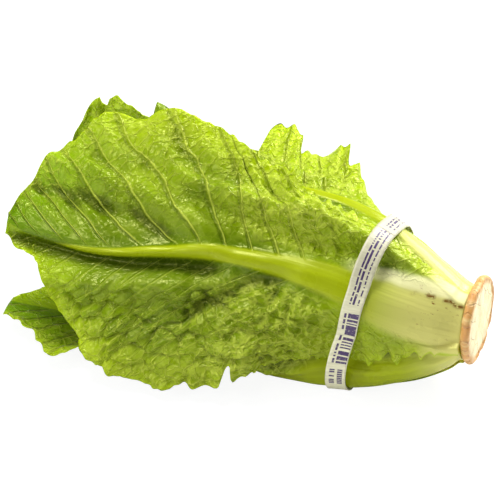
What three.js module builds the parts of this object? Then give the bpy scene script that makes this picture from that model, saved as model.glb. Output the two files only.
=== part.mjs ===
import * as THREE from 'three';

// A romaine lettuce head with its tie band, lying on its side. Millimetres, +Z up.
//
// The head's axis runs along X, with the cut butt facing +X and the leaf tips towards -X.
// A place on a leaf is given by three numbers:
//   s     distance from the cut face along the axis
//   turn  angle about the axis in radians: 0 is up, a quarter turn is the front (-Y), a half turn is down
//   r     distance from the axis
// The origin is on the surface that the head lies on, under the flat spot of the leaf that carries it.

const AXIS_HEIGHT = 50; // axis above the surface
const REST_FROM_BUTT = 112; // middle of the flat spot that carries the head, from the cut face
const REST_HALF_LENGTH = 15;
const REST_FADE = 12; // past the spot the leaves rise clear of the surface
const REST_LIFT = 1.6;

// Leaves
const BLADE = 0.9; // thickness of a leaf blade
const BASE_GAP = 0.95; // clear space between leaves at the butt
const LEAFY_GAP = 3.2; // clear space between leaves where they are crinkled
const BASE_HOLD = 4; // how far past its margin a leaf still holds off the ones outside it, at the butt
const LEAFY_HOLD = 11; // and where they are crinkled
const GAP_FROM = 12; // s where these start to grow
const GAP_TO = 120; // s where they are at their widest
const MARGIN_FADE = 1.7; // the hold then fades over this many times its length
const MARGIN_DROP = 12; // how fast an outer leaf may sink past an inner leaf's margin
const LEAST_HOLD = 0.05; // keeps that drop finite where the hold has faded out
const BLEND = 3; // softening where one limit takes over from another
const MARGIN_REACH = 2; // allowance past a margin when the band is drawn round it
const PRESSED = 0.85; // share of its waves that a leaf loses under another
const RIB_FALL = 1.6; // how sharply a midrib falls away at its sides
const FACING_LIMIT = degrees(84); // past this a ray misses the plane of a leaf
const FAR_ACROSS = 1000; // place across a leaf given to such a ray
const LEAST_DOWN = 0.2; // keeps those limits finite on rays that run along them
const FOLD_FADE = 24; // length over which a fold comes up at its two ends
const TIP_EDGE = 3; // half-width of a leaf's blunt tip

// Waves along the margins
const WAVE_START = 10; // past the leaf's start
const WAVE_FULL = 90;
const LEAST_REACH = 6; // half-width under which the waves stop growing steeper
const MOST_OUT = 1.2; // waves stop growing this far out, as a share of the half-width
const SIDE_SHIFT = 1.7; // phase between the two margins
const SLOW_WAVE = 0.61; // frequency of the second, slower wave as a share of the first
const SLOW_SHARE = 0.5; // and its height
const SLOW_SHIFT = 1.1; // and its phase

// Meshes: rows along each leaf, columns across it
const FRONT_GRID = [44, 18];
const OUTER_GRID = [32, 12];
const MIDDLE_GRID = [20, 8];
const HEART_GRID = [10, 10];
const ROW_CROWDING = 0.35; // how much closer the rows are at a leaf's two ends
const COLUMN_CROWDING = 0.2; // and the columns at its midrib

// Butt and core
const BUTT_RADIUS = 27;
const BUTT_FLARE_RADIUS = 28.5;
const BUTT_THICKNESS = 6.5;
const LEAF_START = BUTT_THICKNESS + 0.4;
const CORE_RADIUS = 13.5;
const CORE_TIP_RADIUS = 3;
const CORE_END = 64;
const BUTT_SIDES = 28;

// Tie band
const BAND_WIDTH = 12.5;
const BAND_THICKNESS = 0.8;
const BAND_FROM_BUTT = 70;
const BAND_SLANT = 0.171;
const BAND_SLANT_TURN = degrees(-45);
const BAND_CLEARANCE = 0.9;
const BAND_FLOOR_GAP = 0.1;
const BAND_PASSES = 4; // rounds that settle where the slanted band meets each ray
const BAND_SIDES = 48;
const BAND_PINCH = 17; // half-length of the stretch where the band presses the waves flat
// The band also draws the leaves in at the front: how far they stand out that way, by s
const FRONT_LIMIT = [
  [8, 28], [20, 31], [30, 33], [40, 36], [60, 39.5], [88, 40.5], [112, 50], [150, 80], [200, 120],
];

function degrees(angle) {
  return angle * Math.PI / 180;
}

// Smooth curve through hand-set [place, value] stations, level past the two ends.
function station(points, place) {
  const last = points.length - 1;
  if (place <= points[0][0]) return points[0][1];
  if (place >= points[last][0]) return points[last][1];
  let i = 0;
  while (place > points[i + 1][0]) i += 1;
  const slope = (k) => {
    if (k <= 0 || k >= last) return 0;
    return (points[k + 1][1] - points[k - 1][1]) / (points[k + 1][0] - points[k - 1][0]);
  };
  const span = points[i + 1][0] - points[i][0];
  const t = (place - points[i][0]) / span;
  const t2 = t * t;
  const t3 = t2 * t;
  return points[i][1] * (2 * t3 - 3 * t2 + 1) + points[i + 1][1] * (3 * t2 - 2 * t3)
    + slope(i) * span * (t3 - 2 * t2 + t) + slope(i + 1) * span * (t3 - t2);
}

function softMax(a, b) {
  const h = Math.max(BLEND - Math.abs(a - b), 0) / BLEND;
  return Math.max(a, b) + h * h * BLEND / 4;
}

function softMin(a, b) {
  return -softMax(-a, -b);
}

function smoothStep(low, high, x) {
  const t = Math.min(Math.max((x - low) / (high - low), 0), 1);
  return t * t * (3 - 2 * t);
}

// Outer leaves, from the innermost to the outermost.
//   turn    direction that the leaf's back faces, in degrees, by s
//   rise    distance of the blade from the axis, by s
//   flat    1 for a flat blade, towards 0 for one rolled round the axis, by s
//   rib     place of the midrib across the blade, by s
//   left, right  half-widths towards smaller and larger turn, by s
//   ribWidth, ribDepth  half-width of the midrib and how far it stands out, by s
//   wave    height, length and phase of the waves along the margins
//   folds   ridges (+) and valleys (-) along a line of [s, across] points, with width and height
const BACK_LEAF = {
  name: 'back_leaf',
  start: LEAF_START,
  end: 294,
  turn: [[8, -104], [100, -100], [290, -96]],
  rise: [[8, 18], [20, 18.5], [34, 24], [50, 30], [70, 37], [100, 44], [150, 48], [200, 52],
    [250, 55], [286, 52]],
  flat: [[8, 0.5], [60, 0.6], [140, 0.8], [286, 0.85]],
  rib: [[8, 0], [286, 0]],
  left: [[8, 15], [40, 30], [80, 40], [120, 46], [170, 52], [220, 54], [250, 50], [275, 36], [294, 3]],
  right: [[8, 17], [40, 28], [80, 37], [120, 41], [170, 46], [220, 62], [241, 73], [258, 76],
    [266, 70], [272, 71], [280, 64], [288, 44], [294, 5]],
  ribWidth: [[8, 13], [60, 11], [140, 6], [220, 4], [286, 2]],
  ribDepth: [[8, 1.5], [30, 3], [60, 4], [140, 3.2], [220, 2.4], [286, 1]],
  wave: { height: 4.5, length: 52, phase: 0.6 },
  folds: [
    { line: [[90, 16], [230, 34]], width: 13, height: 4 },
    { line: [[110, -18], [250, -32]], width: 13, height: 4 },
  ],
};

const LOWER_LEAF = {
  name: 'lower_leaf',
  start: LEAF_START,
  end: 301,
  turn: [[8, 142], [100, 140], [150, 142], [200, 158], [250, 172], [301, 172]],
  rise: [[8, 24.5], [14, 29.5], [20, 33.5], [32, 39.5], [44, 44], [62, 50], [82, 54.5], [107, 56.5],
    [131, 57], [160, 53], [200, 48], [250, 46], [301, 42]],
  flat: [[8, 0.5], [60, 0.6], [140, 0.8], [200, 0.95], [301, 1]],
  rib: [[8, 0], [150, 0], [220, -10], [301, -26]],
  left: [[8, 14], [24, 22], [40, 30], [80, 30], [120, 27], [160, 28], [200, 38], [235, 57], [250, 66],
    [259, 67], [268, 58], [280, 52], [291, 47], [301, 38]],
  right: [[8, 20], [40, 30], [80, 36], [120, 42], [170, 40], [220, 34], [260, 20], [285, 2],
    [301, -22]],
  ribWidth: [[8, 13], [60, 12], [140, 7], [220, 4], [301, 2]],
  ribDepth: [[8, 1.5], [30, 3], [60, 4.5], [140, 3.6], [220, 2.4], [301, 1]],
  wave: { height: 3.5, length: 46, phase: 2.1 },
  folds: [],
};

const UNDER_LEAF = {
  name: 'under_leaf',
  start: LEAF_START,
  end: 262,
  turn: [[8, 188], [100, 186], [262, 192]],
  rise: [[8, 24], [14, 29], [20, 32], [42, 41], [62, 49], [88, 54], [114, 50], [150, 46], [200, 48],
    [262, 46]],
  flat: [[8, 0.5], [60, 0.7], [140, 0.9], [262, 0.9]],
  rib: [[8, 0], [262, 0]],
  left: [[8, 18], [40, 26], [80, 30], [120, 32], [160, 34], [200, 48], [230, 42], [252, 24], [262, 3]],
  right: [[8, 20], [40, 32], [80, 38], [120, 46], [160, 50], [200, 50], [230, 42], [252, 24], [262, 3]],
  ribWidth: [[8, 12], [60, 11], [140, 6], [220, 4], [262, 2]],
  ribDepth: [[8, 1.5], [30, 3], [60, 4], [140, 3], [220, 2.2], [262, 1]],
  wave: { height: 3, length: 50, phase: 4 },
  folds: [],
};

const TOP_LEAF = {
  name: 'top_leaf',
  start: LEAF_START,
  end: 232,
  turn: [[8, -6], [29, -14], [51, -18], [73, -21], [101, -23], [200, -30], [232, -34]],
  rise: [[8, 19], [20, 24], [30, 29], [38, 33.5], [50, 39.5], [62, 45.5], [75, 50], [90, 53.5],
    [101, 55], [125, 56], [160, 56], [205, 56], [232, 52]],
  flat: [[8, 0.5], [60, 0.6], [110, 0.75], [232, 0.85]],
  rib: [[8, 0], [232, 0]],
  left: [[8, 10], [40, 12], [62, 13], [76, 17], [86, 25], [94, 29], [101, 31], [122, 34], [140, 38],
    [150, 39], [157, 38], [168, 37], [172, 32], [180, 28], [192, 27], [205, 25], [218, 17], [232, 3]],
  right: [[8, 10], [40, 14], [80, 19], [120, 23], [170, 24], [200, 20], [220, 12], [232, 3]],
  ribWidth: [[8, 10], [60, 9], [110, 6], [180, 4], [232, 2]],
  ribDepth: [[8, 1.5], [30, 3], [60, 4], [110, 3.6], [180, 2.6], [232, 1]],
  wave: { height: 4, length: 44, phase: 5.2 },
  folds: [
    { line: [[86, -35], [125, -38], [190, -44]], width: 11, height: 20 },
    { line: [[94, -36], [132, -39]], width: 9, height: 30 },
    { line: [[136, -41], [194, -44]], width: 8, height: 31 },
  ],
};

const FRONT_LEAF = {
  name: 'front_leaf',
  start: LEAF_START,
  end: 302,
  turn: [[8, 50.4], [302, 50.4]],
  rise: [[8, 18.5], [25, 26], [47, 33], [69, 37], [89, 39.5], [109, 41.5], [141, 44], [173, 46],
    [204, 46.5], [236, 45.5], [263, 43.5], [302, 39]],
  flat: [[8, 0.6], [60, 0.75], [120, 0.85], [302, 0.9]],
  rib: [[8, 5], [47, 3], [89, -4], [141, -7], [173, -5], [204, 1], [236, 8], [263, 9], [290, 6],
    [302, 2]],
  left: [[8, 13], [17, 16], [29, 23], [51, 33], [73, 43], [101, 51], [120, 57], [135, 68], [156, 77],
    [168, 80], [185, 90], [204, 90], [220, 88], [248, 82], [261, 71], [273, 57], [286, 39], [297, 17],
    [302, 4]],
  right: [[8, 22], [24, 28], [40, 37], [58, 51], [76, 62], [92, 71], [106, 75], [120, 70], [132, 70],
    [145, 76], [158, 82], [178, 84], [190, 88], [204, 85], [227, 77], [237, 69], [246, 63], [253, 56],
    [260, 45], [267, 33], [273, 23], [280, 19.5], [288, 18.5], [296, 16], [302, 9]],
  ribWidth: [[8, 21], [50, 19], [90, 12], [140, 7], [200, 4.5], [260, 3], [302, 2]],
  ribDepth: [[8, 3], [50, 4.5], [90, 5], [140, 4.2], [200, 3.2], [260, 1.6], [302, 0.5]],
  wave: { height: 3, length: 44, phase: 1.2 },
  folds: [
    { line: [[150, -12], [197, -24], [239, -34], [261, -37], [310, -42]], width: 8, height: 6 },
    { line: [[180, -9], [224, -22], [255, -26], [310, -27]], width: 8, height: -6 },
    { line: [[150, 2], [190, 8], [215, 13], [248, 15], [310, 11]], width: 6.5, height: -9 },
    { line: [[165, 10], [190, 17], [216, 23], [248, 27], [310, 24]], width: 8, height: 6 },
    { line: [[105, -4], [138, 8], [158, 25], [190, 44]], width: 7, height: -6 },
    { line: [[-16, 2], [12, -5], [30, -14], [50, -19], [78, -24]], width: 8, height: 3.5 },
  ],
};

const OUTER_LEAVES = [BACK_LEAF, LOWER_LEAF, UNDER_LEAF, TOP_LEAF, FRONT_LEAF];

// Middle leaves: direction, distance from the axis at the crown, reach, and half-width at the crown.
const MIDDLE_LEAVES = [
  { turn: 95, rise: 24, end: 262, width: 36 },
  { turn: -45, rise: 36, end: 272, width: 31 },
  { turn: 175, rise: 28, end: 240, width: 36 },
  { turn: 28, rise: 32, end: 258, width: 35 },
  { turn: -110, rise: 40, end: 250, width: 42 },
];
const MIDDLE_START = 15;
const MIDDLE_START_STEP = 1.5;
const MIDDLE_START_RISE = 14.5;
const MIDDLE_START_WIDTH = 15;
const MIDDLE_TWIST = 6; // change of direction from start to end

// Heart leaves follow each other round the core by the golden angle.
const HEART_COUNT = 5;
const HEART_TURN = 40;
const GOLDEN_ANGLE = 137.5;
const HEART_START = 30;
const HEART_END = 168;
const HEART_END_STEP = 14;
const HEART_START_RISE = 11.5;
const HEART_RISE = 13;
const HEART_TIP_RISE = 8;
const HEART_START_WIDTH = 9;
const HEART_WIDTH = 13;
const HEART_WIDTH_STEP = 1.5;

function middleLeaf(leaf, index) {
  const start = MIDDLE_START + index * MIDDLE_START_STEP;
  const { turn, rise, end, width } = leaf;
  const side = [[start, MIDDLE_START_WIDTH], [80, 22], [130, width * 0.7], [190, width],
    [end - 34, width * 0.92], [end - 12, width * 0.56], [end, TIP_EDGE]];
  return {
    name: `middle_leaf_${index + 1}`,
    start,
    end,
    turn: [[start, turn], [end, turn + MIDDLE_TWIST]],
    rise: [[start, MIDDLE_START_RISE], [60, 24], [110, 12 + rise * 0.6], [190, rise], [end, rise * 0.9]],
    flat: [[start, 0.5], [110, 0.55], [end, 0.7]],
    rib: [[start, 0], [end, 0]],
    left: side,
    right: side,
    ribWidth: [[start, 9], [80, 7], [150, 4.5], [end, 2]],
    ribDepth: [[start, 1.5], [80, 3], [150, 2.4], [end, 1]],
    wave: { height: 2.4, length: 52, phase: 1.9 * index },
    folds: [],
  };
}

function heartLeaf(index) {
  const end = HEART_END + index * HEART_END_STEP;
  const width = HEART_WIDTH + index * HEART_WIDTH_STEP;
  const turn = HEART_TURN + GOLDEN_ANGLE * index;
  const side = [[HEART_START, HEART_START_WIDTH], [80, width * 0.8], [end - 40, width],
    [end - 12, width * 0.62], [end, TIP_EDGE]];
  return {
    name: `heart_leaf_${index + 1}`,
    start: HEART_START,
    end,
    turn: [[HEART_START, turn], [end, turn]],
    rise: [[HEART_START, HEART_START_RISE], [90, HEART_RISE], [end - 30, HEART_RISE],
      [end, HEART_TIP_RISE]],
    flat: [[HEART_START, 0.5], [end, 0.5]],
    rib: [[HEART_START, 0], [end, 0]],
    left: side,
    right: side,
    ribWidth: [[HEART_START, 5], [end, 2]],
    ribDepth: [[HEART_START, 1.2], [90, 1.8], [end, 0.8]],
    wave: { height: 0.8, length: 48, phase: 1.3 * index },
    folds: [],
  };
}

const LEAVES = [];
for (let index = 0; index < HEART_COUNT; index += 1) {
  LEAVES.push(heartLeaf(index));
}
MIDDLE_LEAVES.forEach((leaf, index) => LEAVES.push(middleLeaf(leaf, index)));
OUTER_LEAVES.forEach((leaf) => LEAVES.push(leaf));

// Everything about a leaf that depends only on s.
function sectionOf(leaf, s) {
  return {
    turn: degrees(station(leaf.turn, s)),
    rise: station(leaf.rise, s),
    flat: station(leaf.flat, s),
    rib: station(leaf.rib, s),
    left: station(leaf.left, s),
    right: station(leaf.right, s),
    ribWidth: station(leaf.ribWidth, s),
    ribDepth: station(leaf.ribDepth, s),
  };
}

function turnAt(section, across) {
  return section.turn + Math.atan(section.flat * across / section.rise) / section.flat;
}

function bandPlace(turn, r) {
  return BAND_FROM_BUTT - BAND_SLANT * r * Math.cos(turn - BAND_SLANT_TURN);
}

// 0 under the band, 1 away from it.
function freeOfBand(s, turn, r) {
  const off = (s - bandPlace(turn, r)) / BAND_PINCH;
  return 1 - Math.exp(-off * off);
}

function foldHeight(fold, s, across) {
  const { line, width, height } = fold;
  let nearest = Infinity;
  for (let i = 0; i + 1 < line.length; i += 1) {
    const [fromS, fromA] = line[i];
    const runS = line[i + 1][0] - fromS;
    const runA = line[i + 1][1] - fromA;
    const t = ((s - fromS) * runS + (across - fromA) * runA) / (runS * runS + runA * runA);
    const near = Math.min(Math.max(t, 0), 1);
    nearest = Math.min(nearest, Math.hypot(s - fromS - near * runS, across - fromA - near * runA));
  }
  const [firstS, lastS] = [line[0][0], line[line.length - 1][0]];
  const fade = smoothStep(0, FOLD_FADE, s - firstS) * smoothStep(0, FOLD_FADE, lastS - s);
  return height * fade * Math.exp(-nearest * nearest / (width * width));
}

// Waves grow from the midrib to the margin, and start past the bare petiole.
function waveHeight(leaf, section, s, across) {
  const side = across - section.rib;
  const reach = side < 0 ? section.left + section.rib : section.right - section.rib;
  const out = Math.min(Math.abs(side) / Math.max(reach, LEAST_REACH), MOST_OUT);
  const along = 2 * Math.PI * s / leaf.wave.length + leaf.wave.phase + (side < 0 ? SIDE_SHIFT : 0);
  const growth = smoothStep(leaf.start + WAVE_START, leaf.start + WAVE_FULL, s);
  const swing = Math.sin(along) + SLOW_SHARE * Math.sin(SLOW_WAVE * along + SLOW_SHIFT);
  return leaf.wave.height * growth * out * out * out * swing;
}

// One leaf on the ray at s and turn, before its neighbours are looked at.
function freeLeaf(leaf, s, turn) {
  const section = sectionOf(leaf, s);
  let off = turn - section.turn;
  off -= 2 * Math.PI * Math.round(off / (2 * Math.PI));
  const bend = section.flat * off;
  const across = Math.abs(bend) < FACING_LIMIT
    ? section.rise * Math.tan(bend) / section.flat
    : FAR_ACROSS * Math.sign(bend);
  const hold = BASE_HOLD + (LEAFY_HOLD - BASE_HOLD) * smoothStep(GAP_FROM, GAP_TO, s);
  const held = Math.min(Math.max(across, -section.left - hold), section.right + hold);
  const obliquity = Math.hypot(1, section.flat * held / section.rise);
  const plain = section.rise * obliquity;
  let shape = waveHeight(leaf, section, s, held);
  for (const fold of leaf.folds) {
    shape += foldHeight(fold, s, held);
  }
  const ribOff = (held - section.rib) / section.ribWidth;
  const sidePast = Math.max(across - section.right, -section.left - across, 0);
  const endPast = Math.max(s - leaf.end, leaf.start - s, 0);
  return {
    radius: plain,
    shape: shape * freeOfBand(s, turn, plain),
    thick: BLADE * obliquity + section.ribDepth * Math.exp(-RIB_FALL * ribOff * ribOff),
    cover: 1 - smoothStep(hold, hold * (1 + MARGIN_FADE), Math.hypot(sidePast, endPast)),
    inside: Math.max(sidePast, endPast) < MARGIN_REACH,
  };
}

// Distance from the axis to the surface below, less a small lift away from the resting spot, or to
// where the band draws the leaves in.
function limitRadius(s, turn) {
  const past = Math.abs(s - REST_FROM_BUTT) - REST_HALF_LENGTH;
  const height = AXIS_HEIGHT - REST_LIFT * smoothStep(0, REST_FADE, past);
  const below = height / Math.max(-Math.cos(turn), LEAST_DOWN);
  const front = station(FRONT_LIMIT, s) / Math.max(Math.sin(turn), LEAST_DOWN);
  return softMin(below, front);
}

// All the leaves on the ray at s and turn, each clear of the ones inside it and of the surface below.
function stack(s, turn) {
  const gap = BASE_GAP + (LEAFY_GAP - BASE_GAP) * smoothStep(GAP_FROM, GAP_TO, s);
  const layers = LEAVES.map((leaf) => freeLeaf(leaf, s, turn));
  let covered = 0;
  for (const layer of [...layers].reverse()) {
    layer.radius += layer.shape * (1 - PRESSED * covered);
    covered = Math.max(covered, layer.cover);
  }
  layers.forEach((layer, k) => {
    for (let j = 0; j < k; j += 1) {
      const inner = layers[j];
      const drop = MARGIN_DROP * (1 - inner.cover) / (inner.cover + LEAST_HOLD);
      const hold = inner.radius + inner.thick + gap - drop;
      layer.radius = softMax(layer.radius, hold);
    }
  });
  let ceiling = limitRadius(s, turn);
  for (let k = layers.length - 1; k >= 0; k -= 1) {
    const layer = layers[k];
    layer.radius = softMin(layer.radius, ceiling - layer.thick);
    ceiling -= layer.cover * (layer.thick + gap);
  }
  return layers;
}

function place(s, turn, r) {
  return [REST_FROM_BUTT - s, -r * Math.sin(turn), AXIS_HEIGHT + r * Math.cos(turn)];
}

function solid(name, positions, indices, material) {
  const geometry = new THREE.BufferGeometry();
  geometry.setAttribute('position', new THREE.Float32BufferAttribute(positions, 3));
  geometry.setIndex(indices);
  geometry.computeVertexNormals();
  const mesh = new THREE.Mesh(geometry, material);
  mesh.name = name;
  return mesh;
}

// A leaf is two sheets on one grid, joined round the rim. The columns crowd towards the midrib.
function leafMesh(order, [rows, columns], material) {
  const leaf = LEAVES[order];
  const inner = [];
  const outer = [];
  for (let row = 0; row <= rows; row += 1) {
    const cycle = 2 * Math.PI * row / rows;
    const share = (cycle - ROW_CROWDING * Math.sin(cycle)) / (2 * Math.PI);
    const s = leaf.start + (leaf.end - leaf.start) * share;
    const section = sectionOf(leaf, s);
    for (let column = 0; column <= columns; column += 1) {
      const u = 2 * column / columns - 1;
      const spread = u * (1 - COLUMN_CROWDING + COLUMN_CROWDING * Math.abs(u));
      const across = u < 0
        ? section.rib + (section.left + section.rib) * spread
        : section.rib + (section.right - section.rib) * spread;
      const turn = turnAt(section, across);
      const layer = stack(s, turn)[order];
      inner.push(...place(s, turn, layer.radius));
      outer.push(...place(s, turn, layer.radius + layer.thick));
    }
  }
  const across = columns + 1;
  const outerStart = inner.length / 3;
  const indices = [];
  const quad = (a, b, c, d) => indices.push(a, b, c, a, c, d);
  for (let row = 0; row < rows; row += 1) {
    for (let column = 0; column < columns; column += 1) {
      const a = row * across + column;
      const b = a + 1;
      const c = a + across + 1;
      const d = a + across;
      if (column < columns / 2) {
        indices.push(a, b, c, a, c, d);
        indices.push(outerStart + a, outerStart + c, outerStart + b);
        indices.push(outerStart + a, outerStart + d, outerStart + c);
      } else {
        indices.push(a, b, d, b, c, d);
        indices.push(outerStart + a, outerStart + d, outerStart + b);
        indices.push(outerStart + b, outerStart + d, outerStart + c);
      }
    }
  }
  for (let row = 0; row < rows; row += 1) {
    const near = row * across;
    const far = near + across;
    quad(near, far, outerStart + far, outerStart + near);
    quad(far + columns, near + columns, outerStart + near + columns, outerStart + far + columns);
  }
  const tip = rows * across;
  for (let column = 0; column < columns; column += 1) {
    quad(column + 1, column, outerStart + column, outerStart + column + 1);
    quad(tip + column, tip + column + 1, outerStart + tip + column + 1, outerStart + tip + column);
  }
  return solid(leaf.name, [...inner, ...outer], indices, material);
}

// The cut butt, a slightly flared disc, and the core that tapers into the head.
function stumpMesh(material) {
  const profile = [
    new THREE.Vector2(0, 0),
    new THREE.Vector2(BUTT_RADIUS * 0.55, 0),
    new THREE.Vector2(BUTT_RADIUS, 0.6),
    new THREE.Vector2(BUTT_FLARE_RADIUS, 2.4),
    new THREE.Vector2(BUTT_FLARE_RADIUS - 0.8, BUTT_THICKNESS - 1.4),
    new THREE.Vector2(BUTT_FLARE_RADIUS - 3, BUTT_THICKNESS),
    new THREE.Vector2(CORE_RADIUS + 1.2, BUTT_THICKNESS),
    new THREE.Vector2(CORE_RADIUS, BUTT_THICKNESS + 1.2),
    new THREE.Vector2(CORE_RADIUS * 0.72, BUTT_THICKNESS + (CORE_END - BUTT_THICKNESS) * 0.45),
    new THREE.Vector2(CORE_TIP_RADIUS, CORE_END - 3),
    new THREE.Vector2(CORE_TIP_RADIUS * 0.5, CORE_END),
    new THREE.Vector2(0, CORE_END),
  ];
  const geometry = new THREE.LatheGeometry(profile, BUTT_SIDES);
  const mesh = new THREE.Mesh(geometry, material);
  mesh.name = 'stump';
  mesh.rotation.z = Math.PI / 2;
  mesh.position.set(REST_FROM_BUTT, 0, AXIS_HEIGHT);
  return mesh;
}

// Outermost leaf surface on the ray at s and turn.
function outside(s, turn) {
  let reach = 0;
  for (const layer of stack(s, turn)) {
    if (layer.inside) reach = Math.max(reach, layer.radius + layer.thick);
  }
  return reach;
}

// The band is drawn tight: it touches the leaves where they stand out and bridges the hollows.
function bandMesh(material) {
  const edges = [-0.5, 0, 0.5];
  const loops = edges.map((edge) => {
    const hull = [];
    for (let side = 0; side < BAND_SIDES * 2; side += 1) {
      const turn = Math.PI * side / BAND_SIDES;
      let r = BUTT_RADIUS;
      for (let pass = 0; pass < BAND_PASSES; pass += 1) {
        r = outside(bandPlace(turn, r) + edge * BAND_WIDTH, turn);
      }
      hull.push({ turn, r });
    }
    const loop = [];
    for (let side = 0; side < BAND_SIDES; side += 1) {
      const turn = 2 * Math.PI * side / BAND_SIDES;
      const reach = Math.max(...hull.map((point) => point.r * Math.cos(turn - point.turn)));
      const low = (AXIS_HEIGHT - BAND_FLOOR_GAP - BAND_THICKNESS) / Math.max(-Math.cos(turn), LEAST_DOWN);
      loop.push({ turn, r: Math.min(reach + BAND_CLEARANCE, low) });
    }
    return loop;
  });
  const ring = [];
  loops.forEach((loop, i) => ring.push({ loop, edge: edges[i], lift: BAND_THICKNESS }));
  [...loops].reverse().forEach((loop, i) => {
    ring.push({ loop, edge: edges[edges.length - 1 - i], lift: 0 });
  });
  const positions = [];
  const indices = [];
  ring.forEach(({ loop, edge, lift }) => {
    loop.forEach(({ turn, r }) => {
      positions.push(...place(bandPlace(turn, r) + edge * BAND_WIDTH, turn, r + lift));
    });
  });
  for (let line = 0; line < ring.length; line += 1) {
    const next = (line + 1) % ring.length;
    for (let side = 0; side < BAND_SIDES; side += 1) {
      const on = (side + 1) % BAND_SIDES;
      const a = line * BAND_SIDES + side;
      const b = line * BAND_SIDES + on;
      const c = next * BAND_SIDES + on;
      const d = next * BAND_SIDES + side;
      indices.push(a, c, b, a, d, c);
    }
  }
  return solid('tie_band', positions, indices, material);
}

function leafMaterial(color) {
  return new THREE.MeshStandardMaterial({ color, roughness: 0.42, metalness: 0, side: THREE.DoubleSide });
}

const HEART_MATERIAL = leafMaterial(0xd9df7c);
const MIDDLE_MATERIAL = leafMaterial(0xa8cc3c);
const OUTER_MATERIAL = leafMaterial(0x86b41e);
const BUTT_MATERIAL = new THREE.MeshStandardMaterial({ color: 0xf3ecc8, roughness: 0.6, metalness: 0 });
const BAND_MATERIAL = new THREE.MeshStandardMaterial({ color: 0xf4f3f6, roughness: 0.45, metalness: 0 });

const group = new THREE.Group();
LEAVES.forEach((leaf, order) => {
  if (leaf.name.startsWith('heart')) {
    group.add(leafMesh(order, HEART_GRID, HEART_MATERIAL));
  } else if (leaf.name.startsWith('middle')) {
    group.add(leafMesh(order, MIDDLE_GRID, MIDDLE_MATERIAL));
  } else {
    group.add(leafMesh(order, leaf === FRONT_LEAF ? FRONT_GRID : OUTER_GRID, OUTER_MATERIAL));
  }
});
group.add(stumpMesh(BUTT_MATERIAL));
group.add(bandMesh(BAND_MATERIAL));

export default group;
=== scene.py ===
import math

import bpy
import numpy as np
from mathutils import Matrix, Vector


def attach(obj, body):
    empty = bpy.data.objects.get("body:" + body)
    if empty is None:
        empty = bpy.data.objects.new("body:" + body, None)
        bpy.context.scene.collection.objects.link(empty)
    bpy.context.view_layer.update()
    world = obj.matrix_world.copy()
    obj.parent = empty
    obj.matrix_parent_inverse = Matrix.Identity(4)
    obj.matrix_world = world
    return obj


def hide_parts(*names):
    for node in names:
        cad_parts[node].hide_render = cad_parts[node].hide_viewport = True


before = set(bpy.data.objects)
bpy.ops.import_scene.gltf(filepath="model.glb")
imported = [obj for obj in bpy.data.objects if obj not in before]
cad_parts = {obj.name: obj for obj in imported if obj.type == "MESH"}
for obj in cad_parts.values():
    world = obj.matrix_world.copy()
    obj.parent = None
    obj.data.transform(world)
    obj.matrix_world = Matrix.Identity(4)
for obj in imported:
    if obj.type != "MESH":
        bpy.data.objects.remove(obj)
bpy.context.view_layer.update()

# A romaine lettuce head with its tie band, lying on its side.
#
# Lengths are in millimetres until a mesh is made. The head's axis runs along X, with the cut butt facing
# +X and the leaf tips towards -X. A place on a leaf is given by
#   s       distance from the cut face along the axis
#   turn    angle about the axis in radians: 0 is up, a quarter turn is the front (-Y), a half turn is down
#   r       distance from the axis
#   across  distance from a leaf's middle line over its plain curve, below zero on its left side

MM = 0.001

# Camera
IMAGE_SIDE = 500  # pixels
PIXEL = 0.62  # millimetres a pixel shows at the butt
BUTT_PIXEL = (482, 320)
VIEW_AZIMUTH = math.radians(19)
VIEW_ELEVATION = math.radians(38)
VIEW_DISTANCE = 4000
SENSOR = 36

# The head
AXIS_HEIGHT = 50
REST_FROM_BUTT = 112  # middle of the flat spot that the head rests on
REST_HALF_LENGTH = 15
REST_FADE = 12
REST_LIFT = 1.6  # height of the leaves above the surface away from the flat spot

# Leaves
BLADE = 0.9  # thickness of a blade in the frame's solids
FINE_BLADE = 0.5  # thickness of the blade that is seen
BASE_GAP = 0.95  # gaps between leaves, at their bases and in the leafy part
LEAFY_GAP = 3.2
BASE_HOLD = 4  # how far past a margin its leaf still holds the next one off
LEAFY_HOLD = 11
GAP_FROM = 12
GAP_TO = 120
MARGIN_FADE = 1.7
MARGIN_DROP = 12
LEAST_HOLD = 0.05
BLEND = 3  # rounding where one surface takes over from another
MARGIN_REACH = 2  # allowance past a margin when the band is drawn round it
PRESSED = 0.85  # share of its waves that a covered leaf loses
TIP_EDGE = 3
RIB_FALL = 1.6  # how sharply the midrib's thickness falls to its sides
FACING_LIMIT = math.radians(84)
FAR_ACROSS = 1000
LEAST_DOWN = 0.2
FOLD_FADE = 24

# Waves along the margins
WAVE_START = 10
WAVE_FULL = 90
LEAST_REACH = 6
MOST_OUT = 1.2
SIDE_SHIFT = 1.7
SLOW_WAVE = 0.61
SLOW_SHARE = 0.5
SLOW_SHIFT = 1.1

# Butt and core
BUTT_RADIUS = 27
BUTT_FLARE_RADIUS = 28.5
BUTT_THICKNESS = 6.5
LEAF_START = BUTT_THICKNESS + 0.4
CORE_RADIUS = 13.5
CORE_TIP_RADIUS = 3
CORE_END = 64

# Tie band
BAND_WIDTH = 12.5
BAND_THICKNESS = 0.8
BAND_FROM_BUTT = 70
BAND_SLANT = 0.171
BAND_SLANT_TURN = math.radians(-45)
BAND_CLEARANCE = 0.9
BAND_FLOOR_GAP = 0.1
BAND_PASSES = 4  # rounds that settle where the slanted band meets each ray
BAND_PINCH = 17  # half-length of the stretch where the band presses the waves flat
# The band also draws the leaves in at the front: how far they stand out that way, by s
FRONT_LIMIT = {
    8: 28, 20: 31, 30: 33, 40: 36, 60: 39.5, 88: 40.5, 112: 50, 150: 80, 200: 120,
}


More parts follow.
